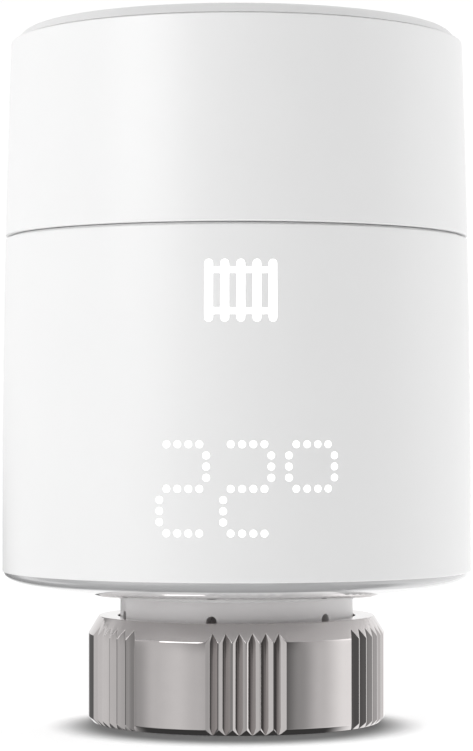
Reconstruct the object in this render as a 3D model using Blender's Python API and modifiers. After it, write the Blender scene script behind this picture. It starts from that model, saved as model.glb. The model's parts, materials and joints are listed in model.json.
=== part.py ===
"""A battery-powered thermostatic radiator valve head, modelled as separate solids.

Driving dimensions are in millimetres; MM turns them into metres. The Z axis is the valve's axis, the
origin is the centre of the union nut's lower face, and the readout faces -Y.
"""

import math

import bmesh
import bpy
from mathutils import Matrix, Vector

MM = 0.001
NAME = "radiator_valve_head"

# Outer body: a slightly barrelled cylinder, cut by the seam between the turning cap and the housing.
BODY_RADIUS = 26.0
BODY_TAPER = 0.0003
WIDEST_Z = 20.0
HOUSING_BOTTOM_Z = 16.6
HOUSING_TOP_Z = 53.35
HOUSING_BORE = 24.1
CAP_BOTTOM_Z = 53.6
CAP_EDGE_Z = 74.95
CAP_BAND_OUTER_R = 24.6
CAP_BAND_INNER_R = 21.0
CAP_BAND_LOW_Z = 75.24
CAP_TOP_Z = 76.63
CAP_WALL = 1.7

# Base pan under the housing: a quarter of an ellipse from the neck out to the rim.
PAN_INNER_R = 13.9
PAN_OUTER_R = 25.75
PAN_LOW_Z = 14.0
PAN_RISE = 2.6
PAN_REACH = 11.9
PAN_WALL = 1.1
PAN_TOP_Z = 16.35
PAN_HOLE_R = 13.25

# Neck and union nut, for an M30 x 1.5 radiator valve.
NECK_RADIUS = 12.92
NECK_BORE = 10.6
COLLAR_SEAT_Z = 7.6
COLLAR_FLANGE_R = 13.9
COLLAR_FLANGE_H = 1.0
COLLAR_TOP_Z = 16.6
COLLAR_PLATE_R = 15.0
COLLAR_PLATE_Z = 15.4
COLLAR_WEB_R = 6.5
COLLAR_WEB_Z = 15.2
NECK_HOLE_RADIUS = 0.58
NECK_HOLE_Z = 11.75
NECK_HOLE_ANGLES = [48.0 + 60.0 * step for step in range(6)]
NUT_RADIUS = 16.47
NUT_TOP_Z = 11.7
NUT_TOP_FACE_R = 15.3
NUT_CHAMFER_Z = 9.8
NUT_THREAD_MINOR_R = 14.19
NUT_FLANGE_Z = 9.5
NUT_FLANGE_R = 13.2
GROOVE_VALLEY_R = 15.87
GROOVE_PITCH_DEG = 5.1
GROOVES_PER_GROUP = 6
GROOVE_GROUPS = 6
FRONT_GROUP_DEG = 3.6

# Gear train, all of one module, in three levels above the chassis base.
MODULE = 0.4
PINION_TEETH = 10
OUTPUT_TEETH = 48
IDLER_2_TEETH = 34
IDLER_1_TEETH = 32
LEVEL_OUTPUT = (18.2, 19.4)
LEVEL_IDLER_2 = (19.7, 20.8)
LEVEL_IDLER_1 = (21.1, 22.2)
IDLER_2_BEARING_DEG = -25.0
MOTOR_DISTANCE = 11.0
AXLE_RADIUS = 0.6
AXLE_BORE = 0.72
SLEEVE_RADIUS = 3.5
SLEEVE_BORE = 2.6
SLEEVE_TOP_Z = 33.0

# Chassis and gearbox plates.
CHASSIS_RADIUS = 23.4
CHASSIS_Z = (16.9, 17.9)
PLATE_RADIUS = 21.0
PLATE_Z = (23.0, 24.1)
PLATE_BACK_Y = 1.2
PLATE_FRONT_Y = -18.2
POST_PLACES = [(-14.5, -9.0), (13.0, -15.0), (19.0, -1.5)]
POST_RADIUS = 1.6
SCREW_HEAD_RADIUS = 1.35
SCREW_SHANK_RADIUS = 0.7
SCREW_HOLE_RADIUS = 0.9
GEARBOX_SCREW_HEAD_Z = (25.3, 24.35)
GEARBOX_SCREW_END_Z = 19.0
COLLAR_SCREW_CIRCLE = 8.5
COLLAR_SCREW_HEAD_Z = (14.0, 14.95)
COLLAR_SCREW_END_Z = 17.8
POST_TOP_Z = 22.7
MOTOR_CAN = {"radius": 6.0, "flat": 5.0, "top": 39.4}
MOTOR_ENDCAP = {"radius": 5.7, "flat": 4.7, "heights": (39.7, 41.4)}
MOTOR_SHAFT_RADIUS = 0.75

# Plunger: a screw rod with a square shank that keeps it from turning.
PLUNGER_RADIUS = 2.3
PLUNGER_TIP_Z = 23.0
PLUNGER_THREAD_TOP_Z = 34.0
PLUNGER_TOP_Z = 43.0
SHANK_HALF = 1.5

# Two AA cells in an open-backed holder.
CELL_RADIUS = 7.25
CELL_BODY = 48.6
CELL_NUB = 0.9
CELL_X = 7.7
CELL_Y = 10.6
HOLDER_WALL_R = 8.25
HOLDER_BORE_R = 7.45
HOLDER_Z = (21.5, 74.7)
HOLDER_END = 0.8
HOLDER_BACK_Y = 12.6
CELL_LEFT_Z = 23.7
CELL_RIGHT_Z = 22.95
CELL_NUB_RADIUS = 2.7
HOLDER_FOOT = {"x": 9.5, "y": 14.0, "radius": 1.5}
CONTACT_FLOOR_Z = 22.45
CONTACT_PLATE_HALF = 3.0
CONTACT_THICKNESS = 0.3
SPRING_LEFT_Z = (CONTACT_FLOOR_Z, 23.55)
SPRING_RIGHT_Z = (72.6, 73.3)
LINK_HALF = 11.0
LINK_Y = (9.0, 12.4)
LINK_Z = (73.4, 73.7)
LINK_NOTCH = {"x": (-6.0, 6.0), "y": (8.4, 13.0), "bottom": 73.1}

# Circuit boards stand in the front half, parallel to the readout.
MAIN_PCB_Y = (-17.6, -16.8)
MAIN_PCB_Z = (24.5, 66.0)
MAIN_PCB_HALF = 11.0
LED_BOARD_Y = (-19.6, -18.8)
LED_BOARD_Z = (18.4, 50.6)
LED_BOARD_HALF = 11.6
LED_MODULE_Y = (-20.5, -19.8)
LED_ROWS_Z = (21.1, 31.4)
LED_MODULES = {
    "led_module_tens": ((-8.5, -2.5), LED_ROWS_Z),
    "led_module_units": ((-2.0, 4.1), LED_ROWS_Z),
    "led_module_degree": ((4.7, 10.6), LED_ROWS_Z),
    "led_module_symbol": ((-3.4, 5.0), (42.6, 50.2)),
}
SOLDER_GAP = 0.3
WIRE_GAP = 0.4
MOTOR_WIRE_RADIUS = 0.4
MOTOR_WIRE_SPREAD = 2.0
BATTERY_WIRE_RADIUS = 0.45
BATTERY_WIRE_ROUTE = [
    (13.0, 17.0, 23.0),
    (16.6, 13.6, 23.2),
    (17.4, 9.0, 24.0),
    (17.0, 3.0, 25.4),
    (16.4, -5.0, 27.0),
    (14.0, -12.0, 28.5),
]
BUTTON_RADIUS = 1.2
BUTTON_HALF = 0.8
BUTTON_AT = (6.0, -20.5, 63.2)
LIGHT_GUIDE_R = (23.25, 23.85)
LIGHT_GUIDE_HALF_DEG = 27.5

# Knob bearing.
BEARING_INNER_R = 21.2
BEARING_WALL_R = 21.9
BEARING_LIP_R = 22.5
BEARING_LIP_Z = 58.6
BEARING_Z = (51.2, 59.0)
BEARING_FOOT_Z = 52.4
BEARING_FOOT_GAP = 0.3
CARRIER_R = (22.2, 23.6)
CARRIER_Z = (52.7, 58.0)
MAGNET_R = (22.8, 23.6)
MAGNET_Z = (58.3, 60.2)

FINE = 48
MEDIUM = 36
COARSE = 20
SMALL = 12


def clear_scene():
    for item in list(bpy.data.objects):
        bpy.data.objects.remove(item, do_unlink=True)


def new_collection(name):
    made = bpy.data.collections.new(name)
    bpy.context.scene.collection.children.link(made)
    return made


clear_scene()
PARTS = new_collection(NAME)
CUTTERS = new_collection(NAME + "_cutters")


# Materials

def material(name, color, roughness, metallic=0.0):
    made = bpy.data.materials.new(name)
    made.use_nodes = True
    shader = made.node_tree.nodes["Principled BSDF"]
    shader.inputs["Base Color"].default_value = (*color, 1.0)
    shader.inputs["Roughness"].default_value = roughness
    shader.inputs["Metallic"].default_value = metallic
    made.diffuse_color = (*color, 1.0)
    return made


WHITE = {"color": (0.86, 0.86, 0.86), "roughness": 0.35}
GLOSS_WHITE = {"color": (0.88, 0.88, 0.88), "roughness": 0.12}
NECK_GREY = {"color": (0.55, 0.54, 0.54), "roughness": 0.4}
NICKEL = {"color": (0.60, 0.58, 0.56), "roughness": 0.32, "metallic": 1.0}
STEEL = {"color": (0.62, 0.62, 0.63), "roughness": 0.3, "metallic": 1.0}
BRASS = {"color": (0.72, 0.55, 0.28), "roughness": 0.3, "metallic": 1.0}
DARK = {"color": (0.05, 0.05, 0.055), "roughness": 0.5}
MAGNET = {"color": (0.11, 0.11, 0.12), "roughness": 0.45, "metallic": 0.6}
FRAME_GREY = {"color": (0.24, 0.25, 0.26), "roughness": 0.5}
GEAR_CREAM = {"color": (0.78, 0.75, 0.66), "roughness": 0.45}
BOARD_GREEN = {"color": (0.03, 0.17, 0.08), "roughness": 0.4}
CELL_BLUE = {"color": (0.08, 0.14, 0.30), "roughness": 0.3}
LED_WHITE = {"color": (0.90, 0.90, 0.86), "roughness": 0.4}
CLEAR = {"color": (0.80, 0.84, 0.86), "roughness": 0.15}
RED_WIRE = {"color": (0.55, 0.03, 0.03), "roughness": 0.5}
BLACK_WIRE = {"color": (0.02, 0.02, 0.02), "roughness": 0.5}

REAR_CHIPS = {
    "mcu_chip": ((3.4, 10.4), (30.0, 37.0), 0.9, DARK),
    "radio_module": ((-7.0, 7.0), (46.6, 60.0), 2.0, STEEL),
}
FRONT_CHIPS = {
    "hall_sensor": ((-1.5, 1.5), (58.8, 60.3), 1.0, DARK),
    "temperature_sensor": ((-8.0, -6.4), (62.0, 63.6), 0.8, DARK),
    "pairing_switch": ((4.0, 8.0), (61.2, 65.2), 1.4, STEEL),
    "board_connector": ((-7.0, 7.0), (34.0, 36.5), 0.6, DARK),
}


# Object helpers. Sizes come in millimetres; `at` is the piece's own axis, where its origin goes.

def place(obj, look, at=(0.0, 0.0)):
    obj.location = (at[0] * MM, at[1] * MM, 0.0)
    if look is None:
        CUTTERS.objects.link(obj)
        obj.hide_render = True
        obj.display_type = "WIRE"
    else:
        obj.data.materials.append(material(obj.name + "_look", **look))
        PARTS.objects.link(obj)
    return obj


def smooth(mesh):
    mesh.shade_smooth()
    mesh.set_sharp_from_angle(angle=math.radians(35))


def turned(name, profile, look, segments=MEDIUM, at=(0.0, 0.0)):
    """A closed outline of (radius, height) points, down the outer side first, turned about Z."""
    mesh = bpy.data.meshes.new(name)
    points = [(r * MM, 0.0, z * MM) for r, z in profile]
    open_at_axis = profile[0][0] == 0.0 and profile[-1][0] == 0.0
    count = len(points)
    last = count - 1 if open_at_axis else count
    edges = [(i, (i + 1) % count) for i in range(last)]
    mesh.from_pydata(points, edges, [])
    obj = place(bpy.data.objects.new(name, mesh), look, at)
    screw = obj.modifiers.new("turn", "SCREW")
    screw.axis = "Z"
    screw.angle = math.tau
    screw.steps = segments
    screw.render_steps = segments
    screw.use_merge_vertices = True
    screw.merge_threshold = 1e-6
    screw.use_smooth_shade = True
    return obj


def tube(name, radii, heights, look, segments=MEDIUM, at=(0.0, 0.0)):
    inner, outer = radii
    low, high = heights
    return turned(name, [(outer, high), (outer, low), (inner, low), (inner, high)], look, segments, at)


def rod(name, radius, heights, look, segments=COARSE, at=(0.0, 0.0)):
    low, high = heights
    return turned(name, [(0.0, high), (radius, high), (radius, low), (0.0, low)], look, segments, at)


def block(name, x, y, z, look):
    mesh = bpy.data.meshes.new(name)
    shape = bmesh.new()
    bmesh.ops.create_cube(shape, size=1.0)
    size = Vector((x[1] - x[0], y[1] - y[0], z[1] - z[0])) * MM
    middle = Vector((x[0] + x[1], y[0] + y[1], z[0] + z[1])) * (MM / 2)
    bmesh.ops.transform(shape, matrix=Matrix.Diagonal(size).to_4x4(), verts=shape.verts)
    bmesh.ops.translate(shape, vec=middle, verts=shape.verts)
    shape.to_mesh(mesh)
    shape.free()
    return place(bpy.data.objects.new(name, mesh), look)


def prism(name, loops, heights, look, at=(0.0, 0.0)):
    """Flat closed outlines, the first with the others as holes in it, raised between two heights."""
    low, high = heights
    curve = bpy.data.curves.new(name, "CURVE")
    curve.dimensions = "2D"
    curve.fill_mode = "BOTH"
    curve.extrude = (high - low) / 2 * MM
    for loop in loops:
        spline = curve.splines.new("POLY")
        spline.points.add(len(loop) - 1)
        for point, (x, y) in zip(spline.points, loop):
            point.co = (x * MM, y * MM, 0.0, 1.0)
        spline.use_cyclic_u = True
    flat = bpy.data.objects.new(name + "_outline", curve)
    PARTS.objects.link(flat)
    graph = bpy.context.evaluated_depsgraph_get()
    mesh = bpy.data.meshes.new_from_object(flat.evaluated_get(graph))
    bpy.data.objects.remove(flat, do_unlink=True)
    mesh.name = name
    shape = bmesh.new()
    shape.from_mesh(mesh)
    bmesh.ops.remove_doubles(shape, verts=shape.verts, dist=1e-7)
    bmesh.ops.translate(shape, vec=(0.0, 0.0, (low + high) / 2 * MM), verts=shape.verts)
    bmesh.ops.recalc_face_normals(shape, faces=shape.faces)
    shape.to_mesh(mesh)
    shape.free()
    mesh.materials.clear()
    return place(bpy.data.objects.new(name, mesh), look, at)


def wire(name, route, radius, look):
    """A thin round lead along a smooth route, sampled with Catmull-Rom steps."""
    curve = bpy.data.curves.new(name, "CURVE")
    curve.dimensions = "3D"
    curve.bevel_depth = radius * MM
    curve.bevel_resolution = 1
    curve.use_fill_caps = True
    points = smooth_route([Vector(p) for p in route], steps=3)
    spline = curve.splines.new("POLY")
    spline.points.add(len(points) - 1)
    for point, place_mm in zip(spline.points, points):
        point.co = (*(place_mm * MM), 1.0)
    return place(bpy.data.objects.new(name, curve), look)


def smooth_route(points, steps):
    ends = [2 * points[0] - points[1], *points, 2 * points[-1] - points[-2]]
    found = []
    for a, b, c, d in zip(ends, ends[1:], ends[2:], ends[3:]):
        for step in range(steps):
            t = step / steps
            along = 2 * b + (c - a) * t
            bend = (2 * a - 5 * b + 4 * c - d) * t * t + (3 * b - a - 3 * c + d) * t**3
            found.append((along + bend) / 2)
    return [*found, points[-1]]


def boolean(obj, operation, *tools):
    for tool in tools:
        step = obj.modifiers.new(operation.lower(), "BOOLEAN")
        step.operation = operation
        step.solver = "EXACT"
        step.object = tool
    return obj


def polar(radius, degrees, centre=(0.0, 0.0)):
    turn = math.radians(degrees)
    return centre[0] + radius * math.cos(turn), centre[1] + radius * math.sin(turn)


def circle(radius, count, centre=(0.0, 0.0)):
    return [polar(radius, 360.0 * i / count, centre) for i in range(count)]


def from_front(degrees):
    """Angles on the readout count from straight ahead (-Y), positive towards +X."""
    return degrees - 90.0


def outer_radius(z):
    return BODY_RADIUS - BODY_TAPER * max(0.0, z - WIDEST_Z) ** 2


def heights_between(low, high, count):
    return [low + (high - low) * i / (count - 1) for i in range(count)]


# Casings

def make_knob_cap():
    side = [(outer_radius(z), z) for z in heights_between(CAP_EDGE_Z - 0.35, CAP_BOTTOM_Z, 4)]
    inside = [(outer_radius(z) - CAP_WALL, z) for z in (CAP_BOTTOM_Z, 73.4)]
    inner_top = CAP_TOP_Z - CAP_WALL
    profile = [
        (0.0, CAP_TOP_Z),
        (CAP_BAND_INNER_R, CAP_TOP_Z),
        (CAP_BAND_OUTER_R, CAP_BAND_LOW_Z),
        (CAP_BAND_OUTER_R + 0.3, CAP_EDGE_Z),
        *side,
        *inside,
        (CAP_BAND_INNER_R, inner_top),
        (0.0, inner_top),
    ]
    return turned("knob_cap", profile, WHITE, FINE)


def make_display_housing():
    rim = 0.35
    sides = heights_between(HOUSING_TOP_Z, WIDEST_Z, 3)
    profile = [
        *[(outer_radius(z), z) for z in sides],
        (BODY_RADIUS, HOUSING_BOTTOM_Z + rim),
        (BODY_RADIUS - rim, HOUSING_BOTTOM_Z),
        (HOUSING_BORE, HOUSING_BOTTOM_Z),
        (HOUSING_BORE, HOUSING_TOP_Z),
    ]
    return turned("display_housing", profile, WHITE, FINE)


def pan_height(radius):
    share = min(1.0, (radius - PAN_INNER_R) / PAN_REACH)
    return PAN_LOW_Z + PAN_RISE * (1.0 - math.sqrt(1.0 - share**2))


def make_base_cover():
    outside = [(r, pan_height(r)) for r in (25.6, 25.0, 23.6, 21.0, 17.5, PAN_INNER_R)]
    inside = [(r, pan_height(r) + PAN_WALL) for r in (17.5, 21.0, 23.0)]
    profile = [
        (PAN_OUTER_R, PAN_TOP_Z),
        *outside,
        (PAN_HOLE_R, PAN_LOW_Z),
        (PAN_HOLE_R, PAN_LOW_Z + PAN_WALL),
        *inside,
        (24.3, PAN_TOP_Z),
    ]
    return turned("base_cover", profile, GLOSS_WHITE, FINE)


def make_valve_collar():
    profile = [
        (COLLAR_PLATE_R, COLLAR_TOP_Z),
        (COLLAR_PLATE_R, COLLAR_PLATE_Z),
        (NECK_RADIUS, COLLAR_PLATE_Z),
        (NECK_RADIUS, COLLAR_SEAT_Z + COLLAR_FLANGE_H),
        (COLLAR_FLANGE_R, COLLAR_SEAT_Z + COLLAR_FLANGE_H),
        (COLLAR_FLANGE_R, COLLAR_SEAT_Z),
        (NECK_BORE, COLLAR_SEAT_Z),
        (NECK_BORE, COLLAR_WEB_Z),
        (COLLAR_WEB_R, COLLAR_WEB_Z),
        (COLLAR_WEB_R, COLLAR_TOP_Z),
    ]
    collar = turned("valve_collar", profile, NECK_GREY, FINE)
    for index, degrees in enumerate(NECK_HOLE_ANGLES):
        drill = rod(f"neck_drill_{index}", NECK_HOLE_RADIUS, (8.0, 15.0), None, 8)
        drill.rotation_euler = (0.0, math.radians(90), math.radians(from_front(degrees)))
        drill.location = (0.0, 0.0, NECK_HOLE_Z * MM)
        boolean(collar, "DIFFERENCE", drill)
    for index in range(3):
        hole = rod(
            f"collar_screw_drill_{index}", SCREW_HOLE_RADIUS, (15.0, 17.0), None, SMALL,
            polar(COLLAR_SCREW_CIRCLE, 90 + 120 * index),
        )
        boolean(collar, "DIFFERENCE", hole)
    return collar


def groove_outline():
    """A circle just outside the nut, with V grooves that point inwards in evenly spaced groups."""
    loop = []
    half = GROOVE_PITCH_DEG / 2
    outside = NUT_RADIUS + 0.01
    for group in range(GROOVE_GROUPS):
        centre = from_front(FRONT_GROUP_DEG + 360.0 / GROOVE_GROUPS * group)
        start = centre - GROOVES_PER_GROUP * half
        for groove in range(GROOVES_PER_GROUP):
            left = start + groove * GROOVE_PITCH_DEG
            loop.append(polar(outside, left))
            loop.append(polar(GROOVE_VALLEY_R, left + half))
        end = start + GROOVES_PER_GROUP * GROOVE_PITCH_DEG
        gap = 360.0 / GROOVE_GROUPS - GROOVES_PER_GROUP * GROOVE_PITCH_DEG
        loop += [polar(outside + 0.05, end + gap * step / 6) for step in range(6)]
    return loop


def make_union_nut():
    profile = [
        (NUT_TOP_FACE_R, NUT_TOP_Z),
        (NUT_RADIUS, NUT_CHAMFER_Z),
        (NUT_RADIUS, 0.6),
        (NUT_RADIUS - 0.55, 0.0),
        (NUT_THREAD_MINOR_R + 0.9, 0.0),
        (NUT_THREAD_MINOR_R, 0.9),
        (NUT_THREAD_MINOR_R, NUT_FLANGE_Z),
        (NUT_FLANGE_R, NUT_FLANGE_Z),
        (NUT_FLANGE_R, NUT_TOP_Z),
    ]
    nut = turned("union_nut", profile, NICKEL, FINE)
    grooves = prism("nut_grooves", [circle(20.0, 24), groove_outline()], (-1.0, 13.0), None)
    return boolean(nut, "DIFFERENCE", grooves)


def make_nut_slip_washer():
    return tube("nut_slip_washer", (NUT_FLANGE_R, COLLAR_FLANGE_R), (8.8, 9.25), GEAR_CREAM, MEDIUM)


# Knob bearing

def make_knob_parts():
    low, high = BEARING_Z
    foot_r = HOUSING_BORE - BEARING_FOOT_GAP
    bearing = [
        (BEARING_LIP_R, high),
        (BEARING_LIP_R, BEARING_LIP_Z),
        (BEARING_WALL_R, BEARING_LIP_Z - 0.3),
        (BEARING_WALL_R, BEARING_FOOT_Z),
        (foot_r, BEARING_FOOT_Z),
        (foot_r, low),
        (BEARING_INNER_R, low),
        (BEARING_INNER_R, high),
    ]
    turned("knob_bearing_ring", bearing, FRAME_GREY)
    tube("knob_carrier", CARRIER_R, CARRIER_Z, FRAME_GREY)
    tube("knob_magnet_ring", MAGNET_R, MAGNET_Z, MAGNET)


# Drive

def circles_meet(first, first_r, second, second_r):
    """The meeting point of two circles that lies clockwise of the line from first to second."""
    gap = math.dist(first, second)
    along = (gap**2 + first_r**2 - second_r**2) / (2 * gap)
    off = math.sqrt(first_r**2 - along**2)
    ux, uy = (second[0] - first[0]) / gap, (second[1] - first[1]) / gap
    return first[0] + along * ux + off * uy, first[1] + along * uy - off * ux


def pitch_radius(teeth):
    return MODULE * teeth / 2


def gear_loop(teeth, first_tooth_deg):
    """Straight-sided teeth, thinner than half the pitch so that they run free in every phase."""
    radius = pitch_radius(teeth)
    root, tip = radius - 1.2 * MODULE, radius + 0.9 * MODULE
    pitch = 360.0 / teeth
    at_root, at_tip = 0.29 * pitch, 0.11 * pitch
    loop = []
    for tooth in range(teeth):
        middle = first_tooth_deg + tooth * pitch
        loop.append(polar(root, middle - at_root))
        loop.append(polar(tip, middle - at_tip))
        loop.append(polar(tip, middle + at_tip))
        loop.append(polar(root, middle + at_root))
    return loop


def direction(start, end):
    return math.degrees(math.atan2(end[1] - start[1], end[0] - start[0]))


def meshing_phase(driver, driven, teeth):
    """The first tooth's angle on the driven gear, so that a gap of it faces the driver."""
    return direction(driver, driven) + 180.0 + 180.0 / teeth


OUTPUT_AT = (0.0, 0.0)
OUTPUT_TO_IDLER = pitch_radius(OUTPUT_TEETH) + pitch_radius(PINION_TEETH)
IDLER_2_AT = polar(OUTPUT_TO_IDLER, IDLER_2_BEARING_DEG)
IDLER_1_AT = circles_meet(
    OUTPUT_AT, OUTPUT_TO_IDLER, IDLER_2_AT, pitch_radius(IDLER_2_TEETH) + pitch_radius(PINION_TEETH)
)
MOTOR_AT = circles_meet(
    OUTPUT_AT, MOTOR_DISTANCE, IDLER_1_AT, pitch_radius(IDLER_1_TEETH) + pitch_radius(PINION_TEETH)
)


def make_compound_gear(name, at, wheel, wheel_phase, wheel_z, pinion_phase, pinion_z):
    gear = prism(name, [gear_loop(wheel, wheel_phase)], wheel_z, GEAR_CREAM, at)
    low, high = pinion_z
    overlap = (low, high + 0.5)
    pinion = prism(name + "_pinion", [gear_loop(PINION_TEETH, pinion_phase)], overlap, None, at)
    bore = rod(name + "_bore", AXLE_BORE, (low - 1.0, wheel_z[1] + 1.0), None, 16, at)
    boolean(gear, "UNION", pinion)
    return boolean(gear, "DIFFERENCE", bore)


def make_output_gear():
    phase = direction(OUTPUT_AT, IDLER_2_AT)
    gear = prism("output_gear", [gear_loop(OUTPUT_TEETH, phase)], LEVEL_OUTPUT, GEAR_CREAM)
    sleeve = rod("output_sleeve", SLEEVE_RADIUS, (LEVEL_OUTPUT[0] + 0.3, SLEEVE_TOP_Z), None, 28)
    bore = rod("output_bore", SLEEVE_BORE, (LEVEL_OUTPUT[0] - 1.0, SLEEVE_TOP_Z + 1.0), None, 24)
    boolean(gear, "UNION", sleeve)
    return boolean(gear, "DIFFERENCE", bore)


def make_gears():
    make_output_gear()
    make_compound_gear(
        "idler_gear_2", IDLER_2_AT,
        IDLER_2_TEETH, direction(IDLER_2_AT, IDLER_1_AT), LEVEL_IDLER_2,
        meshing_phase(OUTPUT_AT, IDLER_2_AT, PINION_TEETH), LEVEL_OUTPUT,
    )
    make_compound_gear(
        "idler_gear_1", IDLER_1_AT,
        IDLER_1_TEETH, direction(IDLER_1_AT, MOTOR_AT), LEVEL_IDLER_1,
        meshing_phase(IDLER_2_AT, IDLER_1_AT, PINION_TEETH), LEVEL_IDLER_2,
    )
    phase = meshing_phase(IDLER_1_AT, MOTOR_AT, PINION_TEETH)
    pinion = prism("motor_pinion", [gear_loop(PINION_TEETH, phase)], LEVEL_IDLER_1, BRASS, MOTOR_AT)
    shaft_z = (LEVEL_IDLER_1[0] + 0.2, PLATE_Z[1] + 0.2)
    shaft = rod("motor_shaft", MOTOR_SHAFT_RADIUS, shaft_z, None, SMALL, MOTOR_AT)
    boolean(pinion, "UNION", shaft)
    for name, at in (("idler_axle_1", IDLER_1_AT), ("idler_axle_2", IDLER_2_AT)):
        rod(name, AXLE_RADIUS, (CHASSIS_Z[1] + 0.1, PLATE_Z[0] - 0.1), STEEL, SMALL, at)


def flatted_circle(radius, half_height, count):
    """A circle whose top and bottom are cut flat, as on a small motor's can."""
    reach = math.degrees(math.asin(half_height / radius))
    right = [polar(radius, -reach + 2 * reach * i / count) for i in range(count + 1)]
    left = [polar(radius, 180 - reach + 2 * reach * i / count) for i in range(count + 1)]
    return right + left


def make_motor():
    can = flatted_circle(MOTOR_CAN["radius"], MOTOR_CAN["flat"], 10)
    endcap = flatted_circle(MOTOR_ENDCAP["radius"], MOTOR_ENDCAP["flat"], 8)
    prism("motor_can", [can], (PLATE_Z[1] + 0.35, MOTOR_CAN["top"]), STEEL, MOTOR_AT)
    prism("motor_endcap", [endcap], MOTOR_ENDCAP["heights"], DARK, MOTOR_AT)


def make_plunger():
    rounded = [
        (0.0, PLUNGER_THREAD_TOP_Z),
        (PLUNGER_RADIUS, PLUNGER_THREAD_TOP_Z),
        (PLUNGER_RADIUS, PLUNGER_TIP_Z + 0.8),
        (1.8, PLUNGER_TIP_Z + 0.2),
        (1.1, PLUNGER_TIP_Z),
        (0.0, PLUNGER_TIP_Z),
    ]
    plunger = turned("plunger", rounded, BRASS, 24)
    half = (-SHANK_HALF, SHANK_HALF)
    shank = block("plunger_shank", half, half, (PLUNGER_THREAD_TOP_Z - 0.5, PLUNGER_TOP_Z), None)
    return boolean(plunger, "UNION", shank)


def make_plunger_guide():
    profile = [
        (0.0, 36.2),
        (4.45, 36.2),
        (4.45, PLATE_Z[1] + 0.3),
        (3.85, PLATE_Z[1] + 0.3),
        (3.85, 35.0),
        (0.0, 35.0),
    ]
    guide = turned("plunger_guide", profile, FRAME_GREY, 28)
    half = (-SHANK_HALF - 0.2, SHANK_HALF + 0.2)
    keyhole = block("guide_keyhole", half, half, (34.0, 37.0), None)
    return boolean(guide, "DIFFERENCE", keyhole)


def make_chassis_base():
    base = tube("chassis_base", (5.2, CHASSIS_RADIUS), CHASSIS_Z, FRAME_GREY)
    for index, at in enumerate(POST_PLACES):
        post = rod(f"chassis_post_{index}", POST_RADIUS, (CHASSIS_Z[0] + 0.4, POST_TOP_Z), None, SMALL, at)
        hole = rod(f"post_drill_{index}", SCREW_HOLE_RADIUS, (18.5, 24.0), None, SMALL, at)
        boolean(base, "UNION", post)
        boolean(base, "DIFFERENCE", hole)
    for index in range(3):
        at = polar(COLLAR_SCREW_CIRCLE, 90 + 120 * index)
        hole = rod(f"chassis_drill_{index}", SCREW_HOLE_RADIUS, (16.0, 19.0), None, SMALL, at)
        boolean(base, "DIFFERENCE", hole)
    return base


def make_gearbox_plate():
    plate = rod("gearbox_plate", PLATE_RADIUS, PLATE_Z, FRAME_GREY, MEDIUM)
    wide = (-30.0, 30.0)
    deep = (PLATE_Z[0] - 1.0, PLATE_Z[1] + 1.0)
    behind = block("plate_back_cut", wide, (PLATE_BACK_Y, 30.0), deep, None)
    ahead = block("plate_front_cut", wide, (-30.0, PLATE_FRONT_Y), deep, None)
    sleeve_hole = rod("plate_sleeve_hole", SLEEVE_RADIUS + 0.4, deep, None, 28)
    shaft_hole = rod("plate_shaft_hole", 1.2, deep, None, SMALL, MOTOR_AT)
    boolean(plate, "DIFFERENCE", behind, ahead, sleeve_hole, shaft_hole)
    for index, at in enumerate(POST_PLACES):
        hole = rod(f"plate_screw_hole_{index}", SCREW_HOLE_RADIUS, deep, None, SMALL, at)
        boolean(plate, "DIFFERENCE", hole)
    return plate


def make_screw(name, head_z, end_z, at):
    """A round-head screw whose shank runs from the head's inner face to end_z."""
    head_far, head_near = head_z
    side = [(0.0, head_far), (SCREW_HEAD_RADIUS, head_far), (SCREW_HEAD_RADIUS, head_near)]
    shank = [(SCREW_SHANK_RADIUS, head_near), (SCREW_SHANK_RADIUS, end_z), (0.0, end_z)]
    profile = side + shank
    if head_far < head_near:
        profile = profile[::-1]
    turned(name, profile, STEEL, SMALL, at)


def make_screws():
    for index, at in enumerate(POST_PLACES):
        make_screw(f"gearbox_screw_{index + 1}", GEARBOX_SCREW_HEAD_Z, GEARBOX_SCREW_END_Z, at)
    for index in range(3):
        at = polar(COLLAR_SCREW_CIRCLE, 90 + 120 * index)
        make_screw(f"collar_screw_{index + 1}", COLLAR_SCREW_HEAD_Z, COLLAR_SCREW_END_Z, at)


# Power

def make_cell(name, x, bottom, nub_up):
    length = CELL_BODY + CELL_NUB
    profile = [
        (0.0, length),
        (CELL_NUB_RADIUS, length),
        (CELL_NUB_RADIUS, CELL_BODY),
        (6.6, CELL_BODY),
        (CELL_RADIUS, CELL_BODY - 0.6),
        (CELL_RADIUS, 0.5),
        (6.8, 0.0),
        (0.0, 0.0),
    ]
    if not nub_up:
        profile = [(r, length - z) for r, z in profile][::-1]
    profile = [(r, z + bottom) for r, z in profile]
    turned(name, profile, CELL_BLUE, 32, (x, CELL_Y))


def make_contact_spring(name, x, low, high, wide_at_bottom):
    """A flat conical spring of one and a half turns, with its wire's ends at the two faces."""
    wire_r, wide, narrow, turns, steps = 0.22, 3.4, 1.9, 1.5, 20
    points = []
    for step in range(steps + 1):
        share = step / steps
        narrowing = share if wide_at_bottom else 1.0 - share
        radius = wide + (narrow - wide) * narrowing
        px, py = polar(radius, 360.0 * turns * share, (x, CELL_Y))
        points.append((px, py, low + wire_r + (high - low - 2 * wire_r) * share))
    curve = bpy.data.curves.new(name, "CURVE")
    curve.dimensions = "3D"
    curve.bevel_depth = wire_r * MM
    curve.bevel_resolution = 0
    curve.use_fill_caps = True
    spline = curve.splines.new("POLY")
    spline.points.add(len(points) - 1)
    for point, where in zip(spline.points, points):
        point.co = (*(Vector(where) * MM), 1.0)
    place(bpy.data.objects.new(name, curve), STEEL)


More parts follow.
